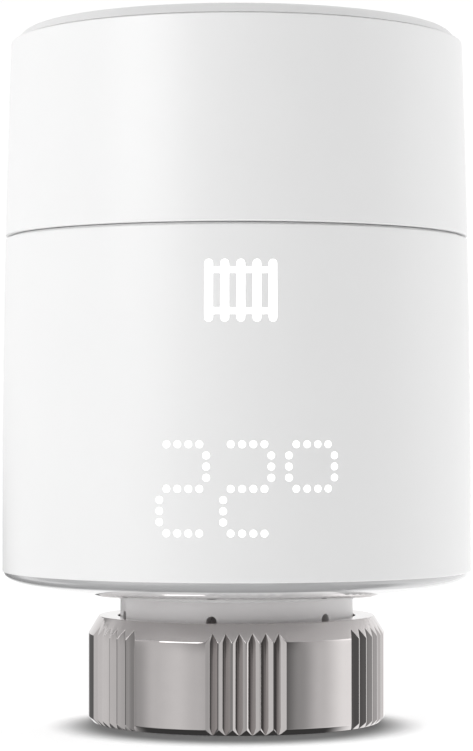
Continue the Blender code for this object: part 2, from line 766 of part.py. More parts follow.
def make_battery_holder():
    left, right = (-CELL_X, CELL_Y), (CELL_X, CELL_Y)
    low, high = HOLDER_Z
    inside = (low + HOLDER_END, high - HOLDER_END)
    holder = rod("battery_holder", HOLDER_WALL_R, HOLDER_Z, DARK, 32, left)
    boolean(holder, "UNION", rod("holder_right", HOLDER_WALL_R, HOLDER_Z, None, 32, right))
    foot_z = (CHASSIS_Z[1] + 0.3, low + 0.4)
    for index, side in enumerate((-1, 1)):
        at = (side * HOLDER_FOOT["x"], HOLDER_FOOT["y"])
        foot = rod(f"holder_foot_{index}", HOLDER_FOOT["radius"], foot_z, None, SMALL, at)
        boolean(holder, "UNION", foot)
    for side, at in (("left", left), ("right", right)):
        boolean(holder, "DIFFERENCE", rod(f"holder_bore_{side}", HOLDER_BORE_R, inside, None, 32, at))
    back = block("holder_back_cut", (-20.0, 20.0), (HOLDER_BACK_Y, 30.0), inside, None)
    notch_z = (LINK_NOTCH["bottom"], inside[1])
    notch = block("holder_link_notch", LINK_NOTCH["x"], LINK_NOTCH["y"], notch_z, None)
    return boolean(holder, "DIFFERENCE", back, notch)


def make_power():
    make_battery_holder()
    make_cell("battery_left", -CELL_X, CELL_LEFT_Z, True)
    make_cell("battery_right", CELL_X, CELL_RIGHT_Z, False)
    make_contact_spring("contact_spring_bottom", -CELL_X, *SPRING_LEFT_Z, True)
    make_contact_spring("contact_spring_top", CELL_X, *SPRING_RIGHT_Z, False)
    plate_x = (CELL_X - CONTACT_PLATE_HALF, CELL_X + CONTACT_PLATE_HALF)
    plate_y = (CELL_Y - CONTACT_PLATE_HALF, CELL_Y + CONTACT_PLATE_HALF)
    plate_z = (CONTACT_FLOOR_Z, CONTACT_FLOOR_Z + CONTACT_THICKNESS)
    block("contact_plate_bottom", plate_x, plate_y, plate_z, STEEL)
    block("contact_link", (-LINK_HALF, LINK_HALF), LINK_Y, LINK_Z, STEEL)


# Electronics

def make_boards():
    """Each chip is (x span, z span, thickness, look); it stands SOLDER_GAP off its board."""
    rear, front = MAIN_PCB_Y[1] + SOLDER_GAP, MAIN_PCB_Y[0] - SOLDER_GAP
    block("main_pcb", (-MAIN_PCB_HALF, MAIN_PCB_HALF), MAIN_PCB_Y, MAIN_PCB_Z, BOARD_GREEN)
    for name, (x, z, thickness, look) in REAR_CHIPS.items():
        block(name, x, (rear, rear + thickness), z, look)
    for name, (x, z, thickness, look) in FRONT_CHIPS.items():
        block(name, x, (front - thickness, front), z, look)
    block("led_board", (-LED_BOARD_HALF, LED_BOARD_HALF), LED_BOARD_Y, LED_BOARD_Z, BOARD_GREEN)
    for name, (x, z) in LED_MODULES.items():
        block(name, x, LED_MODULE_Y, z, LED_WHITE)


def make_pairing_button():
    button = rod("pairing_button", BUTTON_RADIUS, (-BUTTON_HALF, BUTTON_HALF), WHITE, 16)
    button.rotation_euler = (math.radians(90), 0.0, 0.0)
    button.location = [value * MM for value in BUTTON_AT]


def make_light_guide():
    inner, outer = LIGHT_GUIDE_R
    steps = 14
    span = [from_front(LIGHT_GUIDE_HALF_DEG * (2 * i / steps - 1)) for i in range(steps + 1)]
    loop = [polar(outer, a) for a in span] + [polar(inner, a) for a in reversed(span)]
    prism("light_guide", [loop], (19.0, 50.6), CLEAR)


def make_wires():
    """Two leads from the motor and two from the cells, each ending on the main board's rear face."""
    rear = MAIN_PCB_Y[1] + WIRE_GAP
    motor_x, motor_y = MOTOR_AT
    for name, side, look in (("motor_wire_red", 1, RED_WIRE), ("motor_wire_black", -1, BLACK_WIRE)):
        x = motor_x + side * MOTOR_WIRE_SPREAD
        route = [(x, motor_y, 41.8), (x, motor_y - 0.2, 43.6), (x, -12.6, 45.0), (x, rear, 45.3)]
        wire(name, route, MOTOR_WIRE_RADIUS, look)
    for name, side, look in (("battery_wire_red", 1, RED_WIRE), ("battery_wire_black", -1, BLACK_WIRE)):
        route = [(side * x, y, z) for x, y, z in (*BATTERY_WIRE_ROUTE, (10.6, rear, 29.2))]
        wire(name, route, BATTERY_WIRE_RADIUS, look)


def finish_shading():
    for obj in PARTS.objects:
        if obj.type == "MESH" and obj.data.polygons:
            smooth(obj.data)


make_knob_cap()
make_display_housing()
make_base_cover()
make_valve_collar()
make_union_nut()
make_nut_slip_washer()
make_knob_parts()
make_chassis_base()
make_gearbox_plate()
make_gears()
make_motor()
make_plunger()
make_plunger_guide()
make_screws()
make_power()
make_boards()
make_pairing_button()
make_light_guide()
make_wires()
finish_shading()
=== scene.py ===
"""Looks of the radiator valve head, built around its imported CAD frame.

Lengths are in millimetres and become metres where a mesh is made. The key light and the floor's own
sizes are in metres. The readout faces -Y, and an angle on the body counts from straight ahead,
positive towards +X.
"""

import json
import math

import bmesh
import bpy
from mathutils import Matrix, Vector


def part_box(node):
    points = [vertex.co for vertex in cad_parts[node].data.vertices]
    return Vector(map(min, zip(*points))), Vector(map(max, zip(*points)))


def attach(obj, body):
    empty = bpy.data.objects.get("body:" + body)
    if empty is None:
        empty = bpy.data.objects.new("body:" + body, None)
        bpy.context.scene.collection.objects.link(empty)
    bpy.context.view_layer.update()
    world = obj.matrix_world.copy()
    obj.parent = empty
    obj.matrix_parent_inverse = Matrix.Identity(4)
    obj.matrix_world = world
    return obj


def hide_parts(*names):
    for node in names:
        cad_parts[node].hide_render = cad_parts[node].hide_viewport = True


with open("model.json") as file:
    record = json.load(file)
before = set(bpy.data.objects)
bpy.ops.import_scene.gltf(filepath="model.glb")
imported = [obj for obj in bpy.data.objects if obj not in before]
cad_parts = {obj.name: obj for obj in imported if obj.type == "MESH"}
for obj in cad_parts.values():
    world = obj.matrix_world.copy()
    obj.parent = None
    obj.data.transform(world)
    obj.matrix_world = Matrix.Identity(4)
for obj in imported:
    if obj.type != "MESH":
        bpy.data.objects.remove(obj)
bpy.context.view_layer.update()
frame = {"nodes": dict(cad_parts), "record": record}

MM = 0.001
AROUND = 256
SHARP_DEG = 30.0


def extent(node):
    """A CAD node's lowest and highest corners in millimetres."""
    low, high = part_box(node)
    return low / MM, high / MM


# Camera, at the height of the lower shell, looking very slightly up

CAMERA_DISTANCE = 301.0
CAMERA_HEIGHT = 32.45
CAMERA_TILT_DEG = 1.11
CAMERA_LENS = 129.4
CAMERA_SENSOR = 36.0


def make_camera():
    data = bpy.data.cameras.new("camera")
    data.lens = CAMERA_LENS
    data.sensor_width = CAMERA_SENSOR
    data.clip_start = 0.01
    camera = bpy.data.objects.new("camera", data)
    camera.location = (0.0, -CAMERA_DISTANCE * MM, CAMERA_HEIGHT * MM)
    camera.rotation_euler = (math.radians(90.0 + CAMERA_TILT_DEG), 0.0, 0.0)
    bpy.context.scene.collection.objects.link(camera)
    bpy.context.scene.camera = camera


# Node materials. A colour Mix node's sockets share their names with its other kinds, so they are
# taken by number.

MIX_FIRST = 6
MIX_SECOND = 7
MIX_RESULT = 2
BAND_BLEND = 0.03
FLOW_MARK = 9.0
GLOSS_PATCH = 2.5
METAL_BLOTCH = 1.6
LATHE_MARK = 0.8


class Look:
    """A Principled material and the small node chains that vary it."""

    def __init__(self, name, color, roughness, metallic=0.0, **sockets):
        self.material = bpy.data.materials.new(name)
        self.material.use_nodes = True
        self.nodes = self.material.node_tree.nodes
        self.links = self.material.node_tree.links
        self.shader = self.nodes["Principled BSDF"]
        self.color = (*color, 1.0)
        self.roughness = roughness
        self.set("Base Color", self.color)
        self.set("Roughness", roughness)
        self.set("Metallic", metallic)
        for socket, value in sockets.items():
            self.set(socket.replace("_", " "), value)
        self.place = self.add("ShaderNodeTexCoord").outputs["Object"]
        self.height = None

    def set(self, socket, value):
        self.shader.inputs[socket].default_value = value

    def add(self, kind, **inputs):
        node = self.nodes.new(kind)
        for socket, value in inputs.items():
            node.inputs[socket.replace("_", " ")].default_value = value
        return node

    def noise(self, size, stretch=(1.0, 1.0, 1.0), detail=3.0):
        """Noise whose features are about `size` millimetres across."""
        mapping = self.add("ShaderNodeMapping")
        mapping.inputs["Scale"].default_value = stretch
        self.links.new(self.place, mapping.inputs["Vector"])
        noise = self.add("ShaderNodeTexNoise", Scale=1.0 / (size * MM), Detail=detail)
        self.links.new(mapping.outputs["Vector"], noise.inputs["Vector"])
        return noise.outputs["Fac"]

    def remap(self, value, low, high):
        node = self.add("ShaderNodeMapRange", To_Min=low, To_Max=high)
        self.links.new(value, node.inputs["Value"])
        return node.outputs["Result"]

    def vary_color(self, value, darker, lighter):
        """Mixes the base colour between two brightnesses of itself."""
        low = [c * darker for c in self.color[:3]]
        high = [min(1.0, c * lighter) for c in self.color[:3]]
        return self.mix_color(value, low, high)

    def mix_color(self, value, low, high):
        """Runs the base colour from `low` to `high` as the value goes from 0 to 1."""
        mix = self.add("ShaderNodeMix")
        mix.data_type = "RGBA"
        mix.inputs[MIX_FIRST].default_value = (*low, 1.0)
        mix.inputs[MIX_SECOND].default_value = (*high, 1.0)
        self.links.new(value, mix.inputs["Factor"])
        self.links.new(mix.outputs[MIX_RESULT], self.shader.inputs["Base Color"])
        return self

    def vary_roughness(self, value, spread):
        found = self.remap(value, self.roughness - spread, self.roughness + spread)
        self.links.new(found, self.shader.inputs["Roughness"])
        return self

    def bump(self, value, depth):
        """Raises the surface by up to `depth` millimetres."""
        node = self.add("ShaderNodeBump", Strength=1.0, Distance=depth * MM)
        self.links.new(value, node.inputs["Height"])
        if self.height is not None:
            self.links.new(self.height, node.inputs["Normal"])
        self.height = node.outputs["Normal"]
        self.links.new(self.height, self.shader.inputs["Normal"])
        return self


def moulded(name, color, roughness, grain=0.25, depth=0.0015, **sockets):
    """Moulded plastic: a fine even grain, faint flow marks and slightly uneven gloss."""
    look = Look(name, color, roughness, **sockets)
    look.vary_color(look.noise(FLOW_MARK), 0.985, 1.01)
    look.vary_roughness(look.noise(GLOSS_PATCH), 0.04)
    look.bump(look.noise(grain, detail=2.0), depth)
    return look.material


def turned_metal(name, color, roughness, lines=0.05, depth=0.0001, **sockets):
    """Plated metal with fine lathe marks around Z and a slightly blotchy finish."""
    look = Look(name, color, roughness, metallic=1.0, **sockets)
    look.vary_color(look.noise(METAL_BLOTCH), 0.97, 1.02)
    look.vary_roughness(look.noise(0.6), 0.02)
    marks = look.noise(LATHE_MARK, stretch=(1.0, 1.0, LATHE_MARK / lines), detail=2.0)
    look.bump(marks, depth)
    look.bump(look.noise(0.18, detail=2.0), depth * 0.6)
    return look.material


def glowing(name, color, strength, roughness=0.4):
    """A lit, diffused patch with a faintly uneven colour and gloss."""
    look = Look(name, color, roughness)
    look.set("Emission Color", (*color, 1.0))
    look.set("Emission Strength", strength)
    look.vary_color(look.noise(0.6), 0.97, 1.0)
    look.vary_roughness(look.noise(0.4), 0.05)
    return look.material


def solder_mask(name, color, roughness):
    """A circuit board: rows of fine lighter tracks under a glossy mask."""
    look = Look(name, color, roughness, Coat_Weight=0.4, Coat_Roughness=0.1)
    turn = look.add("ShaderNodeMapping", Rotation=(math.radians(90.0), 0.0, 0.0))
    look.links.new(look.place, turn.inputs["Vector"])
    tracks = look.add("ShaderNodeTexBrick", Color1=(0.0,) * 4, Color2=(0.25,) * 4, Mortar=(1.0,) * 4,
                      Scale=1.0 / MM, Mortar_Size=0.09, Brick_Width=3.1, Row_Height=0.62)
    look.links.new(turn.outputs["Vector"], tracks.inputs["Vector"])
    look.vary_color(tracks.outputs["Color"], 0.8, 2.0)
    look.vary_roughness(look.noise(2.0), 0.05)
    look.bump(tracks.outputs["Color"], 0.02)
    return look.material


def banded(name, color, roughness, band_color, band_z, **sockets):
    """One colour with a band of another between two heights."""
    look = Look(name, color, roughness, **sockets)
    split = look.add("ShaderNodeSeparateXYZ")
    look.links.new(look.place, split.inputs["Vector"])
    edges = []
    for z in band_z:
        edge = look.add("ShaderNodeMapRange", From_Min=(z - BAND_BLEND) * MM,
                        From_Max=(z + BAND_BLEND) * MM)
        look.links.new(split.outputs["Z"], edge.inputs["Value"])
        edges.append(edge.outputs["Result"])
    inside = look.add("ShaderNodeMath")
    inside.operation = "SUBTRACT"
    look.links.new(edges[0], inside.inputs[0])
    look.links.new(edges[1], inside.inputs[1])
    look.mix_color(inside.outputs["Value"], color, band_color)
    look.vary_roughness(look.noise(3.0), roughness * 0.2)
    look.bump(look.noise(1.2), 0.0003)
    return look.material


WHITE = (0.87, 0.87, 0.87)
PAN_WHITE = (0.84, 0.84, 0.845)
# Painted shade: a grey band on the pan's outer part near the rim, where it faces down and gets little
# light.
PAN_PAINTED_SHADE = (0.46, 0.46, 0.465)
PAN_PAINTED_SHADE_Z = (15.6, 20.0)
CELL_BLUE = (0.035, 0.06, 0.16)
CELL_COPPER = (0.55, 0.30, 0.12)
COPPER_Z = (60.2, 73.0)
COPPER_UPTURNED_Z = (23.0, 35.9)
CELL_GLOSS = {"Coat_Weight": 0.5, "Coat_Roughness": 0.12}
LOOKS = {
    "white_plastic": moulded("satin_white", WHITE, 0.36, Coat_Weight=0.15, Coat_Roughness=0.25),
    # The pan's look paints a grey band of shade round its outer part.
    "pan_plastic": banded("gloss_white_painted_shade", PAN_WHITE, 0.05, PAN_PAINTED_SHADE, PAN_PAINTED_SHADE_Z,
                          IOR=1.8, Coat_Weight=1.0, Coat_Roughness=0.03),
    "neck_plastic": moulded("neck_grey", (0.90, 0.88, 0.88), 0.30),
    "nickel": turned_metal("satin_nickel", (0.60, 0.571, 0.565), 0.06),
    "led": glowing("lit_white", (1.0, 1.0, 1.0), 1.1),
    "steel": turned_metal("bright_steel", (0.62, 0.62, 0.63), 0.28),
    "brass": turned_metal("turned_brass", (0.72, 0.55, 0.28), 0.28),
    "gear_plastic": moulded("acetal", (0.78, 0.75, 0.66), 0.42),
    "frame_plastic": moulded("frame_grey", (0.20, 0.21, 0.22), 0.5, grain=0.4, depth=0.004),
    "black_plastic": moulded("moulded_black", (0.03, 0.03, 0.033), 0.48, grain=0.4, depth=0.004),
    "magnet": moulded("ferrite", (0.09, 0.09, 0.095), 0.5, grain=0.3, depth=0.006),
    "circuit_board": solder_mask("solder_mask", (0.02, 0.14, 0.07), 0.35),
    "led_body": moulded("led_body", (0.88, 0.88, 0.84), 0.4),
    "clear_plastic": moulded("light_guide", (0.80, 0.84, 0.86), 0.2, Transmission_Weight=0.5),
    "red_insulation": moulded("red_insulation", (0.50, 0.02, 0.02), 0.45),
    "black_insulation": moulded("black_insulation", (0.02, 0.02, 0.02), 0.45),
    "cell_sleeve": banded("cell_sleeve", CELL_BLUE, 0.26, CELL_COPPER, COPPER_Z, **CELL_GLOSS),
    "cell_sleeve_upturned": banded("cell_sleeve_upturned", CELL_BLUE, 0.26, CELL_COPPER,
                                   COPPER_UPTURNED_Z, **CELL_GLOSS),
}


# Meshes

def polar(radius, degrees):
    """A place round the body, from straight ahead."""
    turn = math.radians(degrees - 90.0)
    return radius * math.cos(turn), radius * math.sin(turn)


def smooth(obj, sharp_deg=SHARP_DEG):
    """Shades smoothly, apart from edges that bend by more than sharp_deg."""
    obj.data.shade_smooth()
    obj.data.set_sharp_from_angle(angle=math.radians(sharp_deg))
    return obj


def finish_mesh(name, mesh, slot, sharp_deg=SHARP_DEG):
    """Makes the mesh an object, with its look and its faces all turned outwards."""
    shape = bmesh.new()
    shape.from_mesh(mesh)
    bmesh.ops.recalc_face_normals(shape, faces=shape.faces)
    shape.to_mesh(mesh)
    shape.free()
    obj = bpy.data.objects.new(name, mesh)
    bpy.context.scene.collection.objects.link(obj)
    mesh.materials.append(LOOKS[slot])
    return smooth(obj, sharp_deg)


def mesh_object(name, points, faces, slot, sharp_deg=SHARP_DEG):
    mesh = bpy.data.meshes.new(name)
    mesh.from_pydata([(x * MM, y * MM, z * MM) for x, y, z in points], [], faces)
    return finish_mesh(name, mesh, slot, sharp_deg)


def skin(name, rings, slot, loop=True, sharp_deg=SHARP_DEG):
    """Joins rings of points, each closed on itself. With loop the last joins the first; without it
    the first and last are single points that close the two ends."""
    points = []
    starts = []
    for ring in rings:
        starts.append((len(points), len(ring)))
        points.extend(ring)
    pairs = list(zip(starts, starts[1:]))
    if loop:
        pairs.append((starts[-1], starts[0]))
    faces = []
    for (a, size_a), (b, size_b) in pairs:
        for i in range(max(size_a, size_b)):
            j = (i + 1) % max(size_a, size_b)
            if size_a == 1:
                faces.append((a, b + j, b + i))
            elif size_b == 1:
                faces.append((a + i, a + j, b))
            else:
                faces.append((a + i, a + j, b + j, b + i))
    return mesh_object(name, points, faces, slot, sharp_deg)


def rounded(corners, steps=5):
    """A closed outline of (r, z, rounding) corners as points, with each rounding as a smooth bend."""
    points = []
    for i, (r, z, size) in enumerate(corners):
        here = Vector((r, z))
        if size <= 0.0:
            points.append(here)
            continue
        before = Vector(corners[i - 1][:2])
        after = Vector(corners[(i + 1) % len(corners)][:2])
        start = here + (before - here).normalized() * size
        end = here + (after - here).normalized() * size
        for step in range(steps + 1):
            t = step / steps
            points.append(start * (1 - t) ** 2 + here * 2 * t * (1 - t) + end * t * t)
    return [(p.x, p.y) for p in points]


def lathe(name, profile, slot, around=AROUND, at=(0.0, 0.0)):
    """Turns an (r, z) outline about a vertical axis. Points on the axis close an end."""
    rings = []
    for r, z in profile:
        if r == 0.0:
            rings.append([(at[0], at[1], z)])
            continue
        ring = [polar(r, 360.0 * i / around) for i in range(around)]
        rings.append([(at[0] + x, at[1] + y, z) for x, y in ring])
    solid = profile[0][0] == 0.0 and profile[-1][0] == 0.0
    return skin(name, rings, slot, loop=not solid)


def combine(obj, operation, *tools):
    """Joins each tool to obj or cuts it out, for good."""
    for tool in tools:
        step = obj.modifiers.new("tool", "BOOLEAN")
        step.operation = operation
        step.object = tool
    graph = bpy.context.evaluated_depsgraph_get()
    mesh = bpy.data.meshes.new_from_object(obj.evaluated_get(graph))
    obj.modifiers.clear()
    obj.data = mesh
    for tool in tools:
        bpy.data.objects.remove(tool, do_unlink=True)
    return smooth(obj)


def block(name, x, y, z, slot, edge=0.08):
    """A box between two values on each axis, with its edges rounded by `edge`."""
    low, high = Vector((x[0], y[0], z[0])), Vector((x[1], y[1], z[1]))
    shape = bmesh.new()
    bmesh.ops.create_cube(shape, size=1.0)
    scale = Matrix.Diagonal((high - low) * MM).to_4x4()
    bmesh.ops.transform(shape, matrix=scale, verts=shape.verts)
    bmesh.ops.translate(shape, vec=(low + high) / 2 * MM, verts=shape.verts)
    if edge > 0.0:
        bmesh.ops.bevel(shape, geom=shape.edges[:], offset=edge * MM, segments=3, profile=0.5,
                        affect="EDGES")
    mesh = bpy.data.meshes.new(name)
    shape.to_mesh(mesh)
    shape.free()
    return finish_mesh(name, mesh, slot)


def rod(name, radius, heights, slot, edge=0.1, around=96, at=(0.0, 0.0)):
    """An upright round bar between two heights."""
    low, high = heights
    corners = [(0.0, high, 0.0), (radius, high, edge), (radius, low, edge), (0.0, low, 0.0)]
    return lathe(name, rounded(corners), slot, around, at)


def join(first, *others):
    """One object from several separate closed bodies."""
    shape = bmesh.new()
    for obj in (first, *others):
        shape.from_mesh(obj.data)
    shape.to_mesh(first.data)
    shape.free()
    for obj in others:
        bpy.data.objects.remove(obj, do_unlink=True)
    return smooth(first)


def install(obj, node, slot, body):
    """Puts a piece in place of one CAD node, moving with its body."""
    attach(obj, body)
    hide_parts(node)


def add_to_body(obj, slot):
    """A piece that moves with the fixed body and stands for no CAD node."""
    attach(obj, "root")


# Outer shells

CAP_LOW, CAP_HIGH = extent("knob_cap")
SHELL_LOW, SHELL_HIGH = extent("display_housing")
PAN_LOW, PAN_HIGH = extent("base_cover")
COLLAR_LOW, COLLAR_HIGH = extent("valve_collar")
NUT_HIGH = extent("union_nut")[1]
BODY_RADIUS = SHELL_HIGH.x
WIDEST_Z = 20.0
TAPER = 0.0003
WALL = 1.7
SHELL_BORE = 24.1
CAP_BAND_OUTER = 24.6
CAP_BAND_INNER = 21.0
CAP_BAND_DROP = 1.39
CAP_EDGE_DROP = 1.68
CAP_CROWN = 0.05
CAP_SLIT = 0.25
CAP_SIDE_POINTS = 9
SHELL_SIDE_POINTS = 12
SEAM_LIP = 0.2
SEAM_DEPTH = 0.55


def outer_radius(z):
    """The body narrows slightly from its widest height up."""
    return BODY_RADIUS - TAPER * max(0.0, z - WIDEST_Z) ** 2


def side_points(high, low, count):
    """The barrelled side between two heights, top to bottom."""
    heights = [high + (low - high) * i / (count - 1) for i in range(count)]
    return [(outer_radius(z), z, 0.0) for z in heights]


def make_cap():
    """The turning cap, with a shallow band and a fine slit round its top edge."""
    top, bottom = CAP_HIGH.z, CAP_LOW.z
    edge = top - CAP_EDGE_DROP
    inner_top = top - WALL
    groove = top - CAP_BAND_DROP
    corners = [
        (0.0, top + CAP_CROWN, 0.0),
        (CAP_BAND_INNER, top + CAP_CROWN, 0.8),
        (CAP_BAND_OUTER - 0.9, top - 0.38, 0.5),
        (CAP_BAND_OUTER, groove, 0.08),
        (CAP_BAND_OUTER - CAP_SLIT, groove - 0.08, 0.0),
        (CAP_BAND_OUTER - CAP_SLIT, groove - 0.22, 0.0),
        (outer_radius(edge), edge + 0.13, 0.16),
        *side_points(edge - 0.3, bottom + 0.5, CAP_SIDE_POINTS),
        (outer_radius(bottom), bottom, 0.22),
        (outer_radius(bottom) - WALL, bottom, 0.15),
        (outer_radius(top) - WALL, inner_top - 1.0, 0.0),
        (CAP_BAND_INNER, inner_top, 0.5),
        (0.0, inner_top, 0.0),
    ]
    shell = lathe("cap_shell", rounded(corners), "white_plastic")
    install(shell, "knob_cap", "white_plastic", "cap")


def make_shell():
    """The fixed shell, stepped in at its top so that a dark seam shows under the cap."""
    top, bottom = SHELL_HIGH.z, SHELL_LOW.z
    corners = [
        (outer_radius(top), top, 0.2),
        *side_points(top - 0.5, bottom + 0.6, SHELL_SIDE_POINTS),
        (BODY_RADIUS, bottom, 0.16),
        (SHELL_BORE, bottom, 0.1),
        (SHELL_BORE, top + SEAM_LIP, 0.05),
        (outer_radius(top) - SEAM_DEPTH, top + SEAM_LIP, 0.05),
        (outer_radius(top) - SEAM_DEPTH, top, 0.0),
    ]
    shell = lathe("lower_shell", rounded(corners), "white_plastic")
    install(shell, "display_housing", "white_plastic", "root")


PAN_INNER = 13.9
PAN_REACH = 11.99
PAN_RISE = 2.5
PAN_SWEEP_DEG = 84.0
PAN_STEPS = 28
PAN_LIP_DROP = 0.22
PAN_BORE = 13.25


def make_pan():
    """The glossy pan under the shell: a quarter ellipse from the neck out to the rim, with a low lip
    round the neck. Its rim runs up behind the shell, so that no gap shows. Its outer part, from 15.6 to
    20 mm up, carries a painted grey band of shade."""
    low = PAN_LOW.z + 0.1
    outside = []
    for step in range(PAN_STEPS + 1):
        turn = math.radians(PAN_SWEEP_DEG - PAN_SWEEP_DEG * step / PAN_STEPS)
        radius = PAN_INNER + PAN_REACH * math.sin(turn)
        outside.append((radius, low + PAN_RISE * (1 - math.cos(turn)), 0.0))
    corners = [
        (PAN_INNER + PAN_REACH, PAN_HIGH.z + 0.26, 0.0),
        *outside,
        (PAN_INNER - 0.15, low, 0.0),
        (PAN_INNER - 0.2, low - PAN_LIP_DROP, 0.06),
        (PAN_BORE, low - PAN_LIP_DROP, 0.06),
        (PAN_BORE, low + 1.1, 0.0),
        (17.5, low + 1.25, 0.0),
        (21.0, low + 1.6, 0.0),
        (24.3, PAN_HIGH.z + 0.2, 0.0),
    ]
    pan = lathe("base_pan", rounded(corners), "pan_plastic")
    install(pan, "base_cover", "pan_plastic", "root")


# Neck

NECK_RADIUS = 12.92
NECK_BORE = 10.6
NECK_HOLE_RADIUS = 0.58
NECK_HOLE_Z = 11.75
NECK_HOLE_FIRST_DEG = 48.0
NECK_HOLES = 6
TOP_PLATE_RADIUS = 15.0
TOP_PLATE_BORE = 6.5
TOP_PLATE_DEPTH = 1.2
COLLAR_FLANGE_RADIUS = 13.9
COLLAR_FLANGE_DEPTH = 1.0


def make_collar():
    """The neck: a plate under the body, a flange that holds the nut, and a ring of small holes."""
    low, high = COLLAR_LOW.z, COLLAR_HIGH.z
    corners = [
        (TOP_PLATE_RADIUS, high, 0.1),
        (TOP_PLATE_RADIUS, high - TOP_PLATE_DEPTH, 0.1),
        (NECK_RADIUS, high - TOP_PLATE_DEPTH, 0.0),
        (NECK_RADIUS, low + COLLAR_FLANGE_DEPTH, 0.15),
        (COLLAR_FLANGE_RADIUS, low + COLLAR_FLANGE_DEPTH, 0.15),
        (COLLAR_FLANGE_RADIUS, low, 0.2),
        (NECK_BORE, low, 0.2),
        (NECK_BORE, high - 1.4, 0.3),
        (TOP_PLATE_BORE, high - 1.4, 0.15),
        (TOP_PLATE_BORE, high, 0.15),
    ]
    collar = lathe("neck_collar", rounded(corners), "neck_plastic")
    for index in range(NECK_HOLES):
        degrees = NECK_HOLE_FIRST_DEG + 360.0 / NECK_HOLES * index
        bit = rod("bit", NECK_HOLE_RADIUS, (8.0, 15.0), "neck_plastic", 0.0, 20)
        bit.data.transform(Matrix.Rotation(math.radians(90.0), 4, "Y"))
        bit.data.transform(Matrix.Rotation(math.radians(degrees - 90.0), 4, "Z"))
        bit.data.transform(Matrix.Translation((0.0, 0.0, NECK_HOLE_Z * MM)))
        combine(collar, "DIFFERENCE", bit)
    install(collar, "valve_collar", "neck_plastic", "root")


# Union nut

CHAMFER_Z = 9.8
TOP_FACE_RADIUS = 15.3
VALLEY_RADIUS = 15.87
GROOVE_PITCH = 5.1
GROOVES = 6
GROUPS = 6
FRONT_GROUP = 3.6
LAND_DEG = 0.36
FOOT_Z = 0.6
FOOT_RADIUS = 15.92
THREAD_MINOR = 14.19
THREAD_MAJOR = 15.0
THREAD_PITCH = 1.5
THREAD_LOW_Z = 0.9
THREAD_STEPS = 70
THREAD_RUN_OUT = 1.2
THREAD_LEAD_IN = 0.95
FLANGE_Z = 9.5
FLANGE_RADIUS = 13.2
GROOVE_SHARES = (-1.0, -0.66, -0.33, 0.0, 0.33, 0.66, 1.0)
PLAIN_STEPS = 20
NUT_SHARP_DEG = 24.0
NUT_RIM_EDGE = 0.12
PLAIN_EDGE = 0.1
THREAD_CREST = 1.25
THREAD_FLANK = 3.6


def nut_columns():
    """(angle, outside radius) round the nut: six groups of V grooves, plain in between."""
    radius = NUT_HIGH.x
    found = []
    for group in range(GROUPS):
        start = FRONT_GROUP + 360.0 / GROUPS * group - GROOVES * GROOVE_PITCH / 2
        for groove in range(GROOVES):
            left = start + groove * GROOVE_PITCH
            half = (GROOVE_PITCH - LAND_DEG) / 2
            middle = left + GROOVE_PITCH / 2
            for share in GROOVE_SHARES:
                depth = (radius - VALLEY_RADIUS) * (1.0 - abs(share))
                found.append((middle + share * half, radius - depth))
        end = start + GROOVES * GROOVE_PITCH
        gap = 360.0 / GROUPS - GROOVES * GROOVE_PITCH
        for step in range(PLAIN_STEPS):
            found.append((end + gap * (step + 0.5) / PLAIN_STEPS, radius))
    return found


def bend(before, corner, after, size, steps=4):
    """Points of a small rounding at a corner of a column's outline."""
    before, corner, after = Vector(before), Vector(corner), Vector(after)
    start = corner + (before - corner).normalized() * size
    end = corner + (after - corner).normalized() * size
    share = [i / steps for i in range(steps + 1)]
    return [start * (1 - t) ** 2 + corner * 2 * t * (1 - t) + end * t * t for t in share]


def nut_column(degrees, radius):
    """One vertical slice's outline: down the outside, in along the foot, up the thread, back out."""
    full = NUT_HIGH.x
    top = (TOP_FACE_RADIUS, NUT_HIGH.z)
    fall = (NUT_HIGH.z - CHAMFER_Z) / (full - TOP_FACE_RADIUS)
    shoulder = (radius, CHAMFER_Z + (full - radius) * fall)
    foot_fall = FOOT_Z / (full - FOOT_RADIUS)
    heel = (radius, 0.02)
    if radius > FOOT_RADIUS:
        heel = (radius, FOOT_Z - (full - radius) * foot_fall)
    sole = (min(FOOT_RADIUS, radius - 0.01), 0.0)
    inner_sole = (THREAD_MINOR + THREAD_LEAD_IN, 0.0)
    rim = (FLANGE_RADIUS, NUT_HIGH.z)
    outline = bend(rim, top, shoulder, NUT_RIM_EDGE)
    outline += bend(top, shoulder, heel, PLAIN_EDGE if radius == full else 0.03)
    outline += bend(shoulder, heel, sole, PLAIN_EDGE if radius == full else 0.01)
    outline += [Vector(sole), Vector(inner_sole)]
    for i in range(THREAD_STEPS + 1):
        z = THREAD_LOW_Z + (FLANGE_Z - THREAD_LOW_Z) * i / THREAD_STEPS
        turn = (z / THREAD_PITCH - degrees / 360.0) % 1.0
        wave = min(1.0, max(0.0, THREAD_CREST - abs(turn - 0.5) * THREAD_FLANK))
        fade = min(1.0, (FLANGE_Z - z) / THREAD_RUN_OUT)
        depth = (THREAD_MAJOR - THREAD_MINOR) * wave * fade
        outline.append(Vector((THREAD_MINOR + depth, z)))
    outline.append(Vector((FLANGE_RADIUS, FLANGE_Z)))
    outline += bend((FLANGE_RADIUS, FLANGE_Z), rim, top, NUT_RIM_EDGE)
    return outline


def make_nut():
    """The union nut, with grooved grips outside and a thread inside."""
    columns = [(a, nut_column(a, r)) for a, r in nut_columns()]
    rings = []
    for row in range(len(columns[0][1])):
        ring = []
        for degrees, outline in columns:
            x, y = polar(outline[row].x, degrees)
            ring.append((x, y, outline[row].y))
        rings.append(ring)
    nut = skin("ribbed_nut", rings, "nickel", sharp_deg=NUT_SHARP_DEG)
    install(nut, "union_nut", "nickel", "nut")


# Readout: dots that shine through the shell, and a small radiator sign above them

